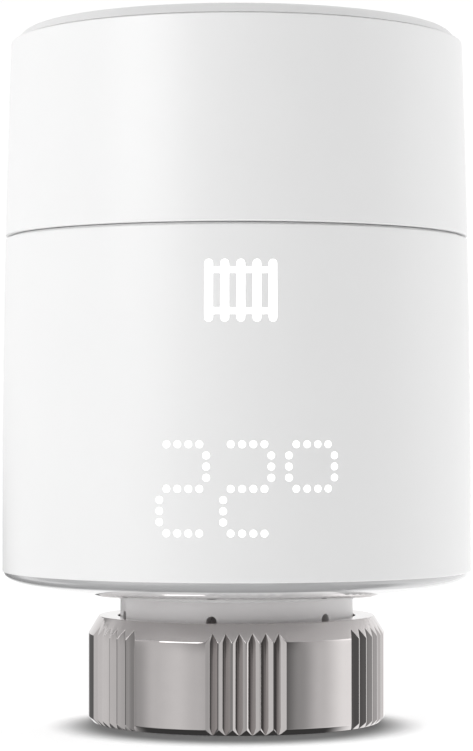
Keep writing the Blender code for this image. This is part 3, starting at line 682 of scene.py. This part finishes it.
DOT_RADIUS = 0.39
DOT_PITCH_Z = 1.136
DOT_TOP_Z = 30.77
COLUMN_STEP = 10.85
ROW_DOTS = (1.7, 4.25, 6.8, 9.3)
DIGIT_LEFT = {"tens": -17.7, "units": -3.0, "degree": 11.9}
DOT_SIDES = 20
DOT_EDGE = 0.03
PROUD = 0.012
ROOTED = -0.2


def digit_dots(lit_rows, left_rows, right_rows):
    """(angle from the digit's left column, row) of each lit dot."""
    across = [(angle, row) for row in lit_rows for angle in ROW_DOTS]
    return across + [(0.0, row) for row in left_rows] + [(COLUMN_STEP, row) for row in right_rows]


TWO = digit_dots((0, 4, 8), (5, 6, 7), (1, 2, 3))
RING = digit_dots((0, 4), (1, 2, 3), (1, 2, 3))


def on_shell(along, z, proud):
    """A point on the lower shell, `along` millimetres round it from straight ahead."""
    radius = outer_radius(z) + proud
    x, y = polar(radius, math.degrees(along / BODY_RADIUS))
    return x, y, z


def make_dots(name, dots, left):
    """Round dots that stand just proud of the shell and are rooted in it."""
    points, faces = [], []
    sides = DOT_SIDES
    outline = ((DOT_RADIUS - DOT_EDGE, PROUD), (DOT_RADIUS, PROUD - 0.02), (DOT_RADIUS, ROOTED))
    for angle, row in dots:
        along = math.radians(left + angle) * BODY_RADIUS
        z = DOT_TOP_Z - row * DOT_PITCH_Z
        first = len(points)
        points.append(on_shell(along, z, PROUD))
        for radius, proud in outline:
            for side in range(sides):
                turn = math.tau * side / sides
                across, up = radius * math.cos(turn), radius * math.sin(turn)
                points.append(on_shell(along + across, z + up, proud))
        points.append(on_shell(along, z, ROOTED))
        for side in range(sides):
            after = (side + 1) % sides
            faces.append((first, first + 1 + side, first + 1 + after))
            for ring in range(2):
                a = first + 1 + ring * sides
                faces.append((a + side, a + sides + side, a + sides + after, a + after))
            last = first + 1 + 2 * sides
            faces.append((last + after, last + side, first + 1 + 3 * sides))
    add_to_body(mesh_object(name, points, faces, "led"), "led_body")


def make_readout():
    """A temperature of two digits and a degree ring, and the sign above it."""
    for digit, left in DIGIT_LEFT.items():
        make_dots(f"readout_{digit}", RING if digit == "degree" else TWO, left)
    make_sign()


SIGN_MIDDLE = 0.45
SIGN_LOW_Z = 43.3
SIGN_HIGH_Z = 49.7
SIGN_COLUMNS = 5
SIGN_COLUMN_WIDTH = 0.86
SIGN_COLUMN_PITCH = 1.66
SIGN_RAIL_INSET = 1.1
SIGN_RAIL_HALF = 0.32
BAR_STEPS = 24


def bar_on_shell(points, faces, x, z):
    """A flat bar with round ends, wrapped on the shell, between two places along and two heights."""
    radius = min(x[1] - x[0], z[1] - z[0]) / 2
    upright = (z[1] - z[0]) > (x[1] - x[0])
    along = z if upright else x
    across = (x[0] + x[1]) / 2 if upright else (z[0] + z[1]) / 2
    rows = []  # (place along the bar, half its width there)
    for step in range(BAR_STEPS + 1):
        share = 0.5 - 0.5 * math.cos(math.pi * step / BAR_STEPS)
        place = along[0] + (along[1] - along[0]) * share
        inset = max(0.0, radius - min(place - along[0], along[1] - place))
        half = max(0.01, math.sqrt(max(0.0, radius**2 - inset**2)))
        rows.append((place, half))
    first = len(points)
    for place, half in rows:
        for side, proud in ((-1, PROUD), (1, PROUD), (1, ROOTED), (-1, ROOTED)):
            a, b = (across + side * half, place) if upright else (place, across + side * half)
            points.append(on_shell(a, b, proud))
    for step in range(BAR_STEPS):
        a = first + 4 * step
        for corner in range(4):
            after = (corner + 1) % 4
            faces.append((a + corner, a + after, a + 4 + after, a + 4 + corner))
    faces.append((first, first + 3, first + 2, first + 1))
    end = first + 4 * BAR_STEPS
    faces.append((end, end + 1, end + 2, end + 3))


def make_sign():
    """A radiator: upright columns on two rails."""
    points, faces = [], []
    half = SIGN_COLUMN_WIDTH / 2
    first = SIGN_MIDDLE - SIGN_COLUMN_PITCH * (SIGN_COLUMNS - 1) / 2
    for column in range(SIGN_COLUMNS):
        middle = first + column * SIGN_COLUMN_PITCH
        bar_on_shell(points, faces, (middle - half, middle + half), (SIGN_LOW_Z, SIGN_HIGH_Z))
    wide = SIGN_COLUMN_PITCH * (SIGN_COLUMNS - 1) / 2
    for z in (SIGN_LOW_Z + SIGN_RAIL_INSET, SIGN_HIGH_Z - SIGN_RAIL_INSET):
        span = (SIGN_MIDDLE - wide, SIGN_MIDDLE + wide)
        bar_on_shell(points, faces, span, (z - SIGN_RAIL_HALF, z + SIGN_RAIL_HALF))
    add_to_body(mesh_object("radiator_sign", points, faces, "led"), "led_body")


# Turning cap's bearing, carrier and magnet ring

CARRIER_BORE = 22.2
MAGNET_BORE = 22.8
RIBS = 24
RIB_DEG = 1.6
RIB_SLOPE_DEG = 0.7
RIB_HEIGHT = 0.22
RIB_FROM_RADIUS = 23.3


def ribbed_ring(name, profile, slot):
    """Turns an outline, with small ribs on the part of it beyond RIB_FROM_RADIUS."""
    half_turn = 180.0 / RIBS
    rings = []
    for r, z in profile:
        ring = []
        for i in range(AROUND * 2):
            degrees = 180.0 * i / AROUND
            off = abs((degrees + half_turn) % (2 * half_turn) - half_turn)
            rise = 0.0
            if r > RIB_FROM_RADIUS:
                rise = RIB_HEIGHT * min(1.0, max(0.0, (RIB_DEG - off) / RIB_SLOPE_DEG))
            x, y = polar(r + rise, degrees)
            ring.append((x, y, z))
        rings.append(ring)
    return skin(name, rings, slot)


def make_bearing():
    """The fixed ring, the carrier that turns on it with the cap, and the carrier's magnet ring."""
    low, high = extent("knob_bearing_ring")
    lip_r, wall_r, bore_r, foot_z = 22.5, 21.9, 21.2, low.z + 1.2
    ring = [
        (lip_r, high.z, 0.12), (lip_r, high.z - 0.4, 0.1), (wall_r, high.z - 0.7, 0.1),
        (wall_r, foot_z, 0.25), (high.x, foot_z, 0.12), (high.x, low.z, 0.1),
        (bore_r, low.z, 0.1), (bore_r, high.z, 0.12),
    ]
    obj = lathe("bearing_ring", rounded(ring), "frame_plastic")
    install(obj, "knob_bearing_ring", "frame_plastic", "root")
    low, high = extent("knob_carrier")
    carrier = [
        (high.x, high.z, 0.15), (high.x, low.z, 0.15),
        (CARRIER_BORE, low.z, 0.12), (CARRIER_BORE, high.z, 0.12),
    ]
    obj = ribbed_ring("cap_carrier", rounded(carrier), "frame_plastic")
    install(obj, "knob_carrier", "frame_plastic", "knob")
    low, high = extent("knob_magnet_ring")
    magnet = [
        (high.x, high.z, 0.18), (high.x, low.z, 0.12),
        (MAGNET_BORE, low.z, 0.12), (MAGNET_BORE, high.z, 0.18),
    ]
    install(lathe("magnet_ring", rounded(magnet), "magnet"), "knob_magnet_ring", "magnet", "knob")


# Cells and their holder

CELL_X = 7.7
CELL_Y = 10.6
CELL_BODY = 48.6
CELL_RADIUS = 7.25
CELL_CAN_RADIUS = 6.2
CELL_AROUND = 128


def make_cell(node, x, look, nub_up):
    """A cell from its flat end up: a printed sleeve, and the can that shows at both ends."""
    low, high = extent(node)
    length = high.z - low.z
    top = CELL_BODY
    shoulder = CELL_RADIUS - 0.15
    can = CELL_CAN_RADIUS
    sleeve = [
        (0.0, top - 0.12, 0.0), (can + 0.1, top - 0.12, 0.0), (can + 0.1, top + 0.02, 0.06),
        (shoulder, top, 0.35), (CELL_RADIUS, top - 0.7, 0.4),
        (CELL_RADIUS, 0.7, 0.4), (shoulder, 0.02, 0.35), (can, 0.0, 0.06),
        (can, 0.14, 0.0), (0.0, 0.14, 0.0),
    ]
    ends = [
        (0.0, length, 0.0), (2.55, length, 0.35), (2.7, top + 0.15, 0.12),
        (3.4, top - 0.08, 0.2), (can, top - 0.1, 0.0), (can, 0.1, 0.0),
        (5.6, 0.06, 0.0), (0.0, 0.0, 0.0),
    ]
    pieces = ((f"{node}_sleeve", sleeve, look, "cell_sleeve"), (f"{node}_can", ends, "steel", "steel"))
    for name, corners, piece_look, slot in pieces:
        outline = rounded(corners)
        if not nub_up:
            outline = [(r, length - z) for r, z in outline][::-1]
        outline = [(r, z + low.z) for r, z in outline]
        obj = lathe(name, outline, piece_look, CELL_AROUND, (x, CELL_Y))
        install(obj, node, slot, "root")


TUBE_RADIUS = 8.25
TUBE_BORE = 7.45
TUBE_LENGTH = 53.2
TUBE_END = 0.8
BACK_OPENING_Y = 12.6
HOLDER_FOOT_RADIUS = 1.5
HOLDER_FOOT_X = 9.5
HOLDER_FOOT_Y = 14.0
LINK_NOTCH_Z = 73.1
MARK_LONG = 1.8
MARK_NARROW = 0.35


def make_mark(name, x, half_x, half_y, top):
    """One bar of a plus or a minus, raised on the holder's top."""
    return block(name, (x - half_x, x + half_x), (CELL_Y - half_y, CELL_Y + half_y),
                 (top - 0.1, top + 0.15), "black_plastic", 0.05)


def make_holder():
    """Twin tubes with closed ends, open at the back; raised marks on top show which way cells go."""
    low, high = extent("battery_holder")
    bottom, top = high.z - TUBE_LENGTH, high.z
    heights = (bottom, top)
    inside = (bottom + TUBE_END, top - TUBE_END)
    black = "black_plastic"
    holder = rod("twin_cell_holder", TUBE_RADIUS, heights, black, 0.3, CELL_AROUND, (-CELL_X, CELL_Y))
    right = rod("right_tube", TUBE_RADIUS, heights, black, 0.3, CELL_AROUND, (CELL_X, CELL_Y))
    feet = []
    foot_heights = (low.z, bottom + 0.4)
    for side in (-1, 1):
        place = (HOLDER_FOOT_X * side, HOLDER_FOOT_Y)
        feet.append(rod(f"foot_{side}", HOLDER_FOOT_RADIUS, foot_heights, black, 0.1, 32, place))
    combine(holder, "UNION", right, *feet)
    bores = []
    for side in (-1, 1):
        place = (CELL_X * side, CELL_Y)
        bores.append(rod(f"bore_{side}", TUBE_BORE, inside, black, 0.15, CELL_AROUND, place))
    back = block("back_opening", (-20.0, 20.0), (BACK_OPENING_Y, 30.0), inside, black, 0.0)
    notch = block("link_notch", (-6.0, 6.0), (8.4, 13.0), (LINK_NOTCH_Z, inside[1]), black, 0.0)
    combine(holder, "DIFFERENCE", *bores, back, notch)
    marks = [
        make_mark("minus", CELL_X, MARK_LONG, MARK_NARROW, top),
        make_mark("plus_across", -CELL_X, MARK_LONG, MARK_NARROW, top),
        make_mark("plus_along", -CELL_X, MARK_NARROW, MARK_LONG, top),
    ]
    combine(holder, "UNION", *marks)
    install(holder, "battery_holder", "black_plastic", "root")


# Main board, with the parts that show when the cap is off

BOARD_REAR_Y = -16.8
BOARD_FRONT_Y = -17.6
RADIO_BOARD_DEPTH = 0.6
SHIELD_INSET = 0.35
SHIELD_DIMPLES = 8
DIMPLE_RADIUS = 0.3
DIMPLE_INSET = 1.6
CHIP_WIDTH = 0.8
CHIP_DEPTH = 0.5
CHIP_BODY = (0.3, 1.3)
CHIP_ENDS = (0.0, 1.3)
CHIP_END = 0.3
CHIP_END_MARGIN = 0.02
# The board's face, the way out of it, the first part's x and z, how many, and the step between them.
CHIP_ROWS = (
    (BOARD_FRONT_Y, -1, -9.4, 54.4, 6, 2.0),
    (BOARD_FRONT_Y, -1, -4.6, 56.6, 4, 1.8),
    (BOARD_REAR_Y, 1, -9.6, 62.2, 3, 1.9),
    (BOARD_REAR_Y, 1, 8.0, 47.0, 1, 1.0),
    (BOARD_REAR_Y, 1, 8.4, 51.0, 2, 1.5),
    (BOARD_REAR_Y, 1, 8.4, 55.0, 2, 1.5),
)
AERIAL_BARS = 6


def box_of(name, node, slot, edge):
    """A rounded block that fills a CAD node's box."""
    low, high = extent(node)
    return block(name, (low.x, high.x), (low.y, high.y), (low.z, high.z), slot, edge)


def make_board():
    install(box_of("main_board", "main_pcb", "circuit_board", 0.04), "main_pcb", "circuit_board", "root")
    make_radio()
    make_chips()
    make_sensor("hall_sensor", 3)
    make_sensor("temperature_sensor", 2)
    make_aerial()
    make_button()


def make_radio():
    """A small board with a shield can on it, and a row of dimples along the can's lid."""
    low, high = extent("radio_module")
    base_y = BOARD_REAR_Y
    can_y = base_y + RADIO_BOARD_DEPTH
    carrier = block("radio_board", (low.x - 0.4, high.x + 0.4), (base_y, can_y),
                    (low.z - 0.3, high.z + 2.2), "circuit_board", 0.05)
    install(carrier, "radio_module", "circuit_board", "root")
    can = block("radio_shield", (low.x, high.x), (can_y, high.y - 0.15), (low.z, high.z), "steel", 0.2)
    lid = block("radio_lid", (low.x + SHIELD_INSET, high.x - SHIELD_INSET), (high.y - 0.3, high.y),
                (low.z + SHIELD_INSET, high.z - SHIELD_INSET), "steel", 0.12)
    dimples = []
    step = (high.x - low.x - 2 * DIMPLE_INSET) / (SHIELD_DIMPLES - 1)
    for i in range(SHIELD_DIMPLES):
        dimple = rod(f"dimple_{i}", DIMPLE_RADIUS, (-0.2, 0.2), "steel", 0.0, 20)
        dimple.data.transform(Matrix.Rotation(math.radians(90.0), 4, "X"))
        place = Vector((low.x + DIMPLE_INSET + i * step, high.y, low.z + 1.2))
        dimple.data.transform(Matrix.Translation(place * MM))
        dimples.append(dimple)
    combine(lid, "DIFFERENCE", *dimples)
    install(join(can, lid), "radio_module", "steel", "root")


def make_chips():
    """Small parts on both faces: black bodies with bright ends, in short rows."""
    bodies, ends = [], []
    for face, out, first_x, z, count, pitch in CHIP_ROWS:
        body_y = sorted((face, face + out * CHIP_DEPTH))
        end_y = sorted((face, face + out * (CHIP_DEPTH + 0.03)))
        body_z = (z + CHIP_BODY[0], z + CHIP_BODY[1])
        for i in range(count):
            left = first_x + i * pitch
            x = (left, left + CHIP_WIDTH)
            bodies.append(block(f"body_{len(bodies)}", x, body_y, body_z, "black_plastic", 0.03))
            x = (left - CHIP_END_MARGIN, left + CHIP_WIDTH + CHIP_END_MARGIN)
            for start in CHIP_ENDS:
                end_z = (z + start, z + start + CHIP_END)
                ends.append(block(f"end_{len(ends)}", x, end_y, end_z, "steel", 0.03))
    rows = (("small_parts", bodies, "black_plastic"), ("small_part_ends", ends, "steel"))
    for name, pieces, slot in rows:
        obj = join(*pieces)
        obj.name = name
        add_to_body(obj, slot)


def make_sensor(node, legs):
    """A black body on a row of short pins."""
    install(box_of(f"{node}_body", node, "black_plastic", 0.08), node, "black_plastic", "root")
    low, high = extent(node)
    pitch = (high.x - low.x) / legs
    y = (BOARD_FRONT_Y - 0.35, BOARD_FRONT_Y)
    z = (low.z - 0.9, low.z + 0.1)
    pins = []
    for i in range(legs):
        x = (low.x + pitch * (i + 0.3), low.x + pitch * (i + 0.7))
        pins.append(block(f"{node}_pin_{i}", x, y, z, "steel", 0.03))
    install(join(*pins), node, "steel", "root")


def make_aerial():
    """A bare metal zigzag along the board's upper edge."""
    bars = []
    y = (BOARD_REAR_Y, BOARD_REAR_Y + 0.07)
    pitch, width, left, bottom, top = 1.5, 0.34, -3.6, 62.9, 65.2
    for i in range(AERIAL_BARS):
        x = left + i * pitch
        bars.append(block(f"bar_{i}", (x, x + width), y, (bottom, top), "brass", 0.0))
        if i < AERIAL_BARS - 1:
            z = top if i % 2 else bottom
            span = (z - width, z) if i % 2 else (z, z + width)
            bars.append(block(f"link_{i}", (x + width, x + pitch), y, span, "brass", 0.0))
    obj = join(*bars)
    obj.name = "aerial"
    add_to_body(obj, "brass")


def make_button():
    """The pairing switch's can and four legs, and the button that moves in it."""
    install(box_of("switch_can", "pairing_switch", "steel", 0.15), "pairing_switch", "steel", "root")
    low, high = extent("pairing_switch")
    y = (BOARD_FRONT_Y - 0.25, BOARD_FRONT_Y)
    legs = []
    for z in ((low.z - 0.7, low.z + 0.1), (high.z - 0.1, high.z + 0.7)):
        for x in (low.x + 0.3, high.x - 1.0):
            legs.append(block(f"leg_{len(legs)}", (x, x + 0.7), y, z, "steel", 0.04))
    install(join(*legs), "pairing_switch", "steel", "root")
    low, high = extent("pairing_button")
    middle = (low + high) / 2
    half = (high.y - low.y) / 2
    radius = (high.x - low.x) / 2
    cap = [
        (0.0, half, 0.0), (0.85, half, 0.1), (radius, half - 0.3, 0.2),
        (radius, -half, 0.05), (0.0, -half, 0.0),
    ]
    button = lathe("switch_button", rounded(cap), "white_plastic", 64)
    button.data.transform(Matrix.Rotation(math.radians(90.0), 4, "X"))
    button.data.transform(Matrix.Translation(middle * MM))
    install(button, "pairing_button", "white_plastic", "button")


# What stays as the CAD made it

def paint_cad_nodes():
    """Gives every node of the CAD the look of its own material slot."""
    for part in frame["record"]["subparts"]:
        obj = frame["nodes"][part["node"]]
        obj.data.materials.clear()
        obj.data.materials.append(LOOKS[part["material_slot"]])


# Studio. MIRRORED_LIGHT is what the metal and the gloss mirror below the horizon, in place of the
# floor, and RING_LIGHT is the softer light above it. Each lists (degrees round from straight ahead,
# light). The light falls to UNDER_LIGHT straight down and to ZENITH_LIGHT overhead. The floor carries
# a painted shadow: it is dimmer within a round patch at the object's foot, a little forward of it.

MIRRORED_LIGHT = (
    (-180, 1.12), (-172, 1.12), (-160, 0.14), (-146, 0.14), (-130, 0.95), (-112, 0.35),
    (-102, 0.10), (-91, 0.12), (-81, 0.48), (-66, 0.76), (-46, 0.88), (-31, 0.74), (-18, 0.60),
    (-8, 0.32), (4, 0.34), (16, 0.60), (25, 0.12), (36, 0.14), (50, 0.40), (68, 0.76), (92, 1.20),
    (115, 1.30), (150, 1.15), (180, 1.12),
)
RING_LIGHT = (
    (-180, 1.03), (-100, 0.76), (-60, 0.70), (-20, 0.32), (10, 0.18), (35, 0.08), (65, 0.64),
    (100, 1.66), (140, 1.10), (180, 1.03),
)
RING_LOW_DEG = -2.4
RING_HIGH_DEG = -0.2
ZENITH_LIGHT = 0.45
ZENITH_LOW_DEG = 45.0
ZENITH_HIGH_DEG = 65.0
UNDER_LIGHT = 0.06
UNDER_HIGH = -0.62
UNDER_LOW = -0.8
WHITE_FLOOR = 0.9
FLOOR_GLOW = 0.42
FLOOR_HALF = 4.0
FOOT_FORWARD = 0.0055
FOOT_NEAR = 0.0145
FOOT_FAR = 0.0215
# The floor's colour at the middle of the painted shadow under the foot.
FOOT_SHADE = 0.3
KEY_SIZE = 0.6
KEY_ENERGY = 3.1
KEY_PLACE = (-0.66, -0.66, 0.41)
KEY_AIM = (0.0, 0.0, 0.04)


def light_profile(nodes, links, direction, around):
    """The brightness in a horizontal direction, read round the circle from `around`."""
    turn = nodes.new("ShaderNodeMapping")
    turn.inputs["Rotation"].default_value = (0.0, 0.0, math.radians(90.0))
    links.new(direction, turn.inputs["Vector"])
    angle = nodes.new("ShaderNodeTexGradient")
    angle.gradient_type = "RADIAL"
    links.new(turn.outputs["Vector"], angle.inputs["Vector"])
    ramp = nodes.new("ShaderNodeValToRGB")
    ramp.color_ramp.interpolation = "EASE"
    stops = ramp.color_ramp.elements
    for degrees, light in around[1:-1]:
        stops.new(0.5 + degrees / 360.0).color = (light, light, light, 1.0)
    for stop, (_, light) in ((stops[0], around[0]), (stops[-1], around[-1])):
        stop.color = (light, light, light, 1.0)
    links.new(angle.outputs["Fac"], ramp.inputs["Fac"])
    return ramp.outputs["Color"]


def smooth_share(nodes, links, value, low, high):
    """0 below low, 1 above high, smooth between."""
    share = nodes.new("ShaderNodeMapRange")
    share.interpolation_type = "SMOOTHSTEP"
    share.inputs["From Min"].default_value = low
    share.inputs["From Max"].default_value = high
    links.new(value, share.inputs["Value"])
    return share.outputs["Result"]


def blend_colors(nodes, links, share, first, second):
    """Mixes two colours; each is a socket or a grey level."""
    mix = nodes.new("ShaderNodeMix")
    mix.data_type = "RGBA"
    links.new(share, mix.inputs["Factor"])
    for slot, color in ((MIX_FIRST, first), (MIX_SECOND, second)):
        if isinstance(color, float):
            mix.inputs[slot].default_value = (color, color, color, 1.0)
        else:
            links.new(color, mix.inputs[slot])
    return mix.outputs[MIX_RESULT]


def make_world():
    """Light from a ring round the horizon, dimmer overhead, with the mirrored light below it."""
    world = bpy.data.worlds.new("studio")
    world.use_nodes = True
    nodes, links = world.node_tree.nodes, world.node_tree.links
    direction = nodes.new("ShaderNodeTexCoord").outputs["Generated"]
    split = nodes.new("ShaderNodeSeparateXYZ")
    links.new(direction, split.inputs["Vector"])
    up = split.outputs["Z"]
    ring_low, ring_high, zenith_low, zenith_high = (
        math.sin(math.radians(a))
        for a in (RING_LOW_DEG, RING_HIGH_DEG, ZENITH_LOW_DEG, ZENITH_HIGH_DEG)
    )
    rise = smooth_share(nodes, links, up, ring_low, ring_high)
    overhead = smooth_share(nodes, links, up, zenith_low, zenith_high)
    mirrored = light_profile(nodes, links, direction, MIRRORED_LIGHT)
    beneath = smooth_share(nodes, links, up, UNDER_HIGH, UNDER_LOW)
    mirrored = blend_colors(nodes, links, beneath, mirrored, UNDER_LIGHT)
    ring = light_profile(nodes, links, direction, RING_LIGHT)
    color = blend_colors(nodes, links, rise, mirrored, ring)
    color = blend_colors(nodes, links, overhead, color, ZENITH_LIGHT)
    links.new(color, nodes["Background"].inputs["Color"])
    bpy.context.scene.world = world
    bpy.context.scene.view_settings.view_transform = "Standard"


def make_floor():
    """Plain white, with a painted shadow: dimmer under the object's foot and just in front of it. The
    metal and the gloss mirror the world in its place."""
    white = (WHITE_FLOOR, WHITE_FLOOR, WHITE_FLOOR)
    look = Look("studio_floor", white, 1.0, Specular_IOR_Level=0.0, Emission_Strength=1.0)
    nodes, links = look.nodes, look.links
    moved = look.add("ShaderNodeVectorMath")
    links.new(look.place, moved.inputs[0])
    moved.inputs[1].default_value = (0.0, FOOT_FORWARD, 0.0)
    length = look.add("ShaderNodeVectorMath")
    length.operation = "LENGTH"
    links.new(moved.outputs["Vector"], length.inputs[0])
    # Painted shadow: darker colour and no glow within the round patch at the foot.
    clear = smooth_share(nodes, links, length.outputs["Value"], FOOT_NEAR, FOOT_FAR)
    shade = blend_colors(nodes, links, clear, FOOT_SHADE, WHITE_FLOOR)
    glow = blend_colors(nodes, links, clear, 0.0, FLOOR_GLOW)
    links.new(shade, look.shader.inputs["Base Color"])
    links.new(glow, look.shader.inputs["Emission Color"])
    mesh = bpy.data.meshes.new("studio_floor")
    half = FLOOR_HALF
    corners = [(-half, -half, 0), (half, -half, 0), (half, half, 0), (-half, half, 0)]
    mesh.from_pydata(corners, [], [(0, 1, 2, 3)])
    floor = bpy.data.objects.new("studio_floor", mesh)
    floor.data.materials.append(look.material)
    floor.visible_glossy = False
    bpy.context.scene.collection.objects.link(floor)


def make_key_light():
    """One large soft lamp, from the left and in front."""
    data = bpy.data.lights.new("soft_key", "AREA")
    data.shape = "RECTANGLE"
    data.size, data.size_y = KEY_SIZE, KEY_SIZE
    data.energy = KEY_ENERGY
    light = bpy.data.objects.new("soft_key", data)
    light.location = KEY_PLACE
    aim = Vector(KEY_AIM) - light.location
    light.rotation_euler = aim.to_track_quat("-Z", "Y").to_euler()
    bpy.context.scene.collection.objects.link(light)


make_camera()
paint_cad_nodes()
make_cap()
make_shell()
make_pan()
make_collar()
make_nut()
make_readout()
make_bearing()
make_cell("battery_left", -CELL_X, "cell_sleeve", nub_up=True)
make_cell("battery_right", CELL_X, "cell_sleeve_upturned", nub_up=False)
make_holder()
make_board()
make_floor()
make_world()
make_key_light()
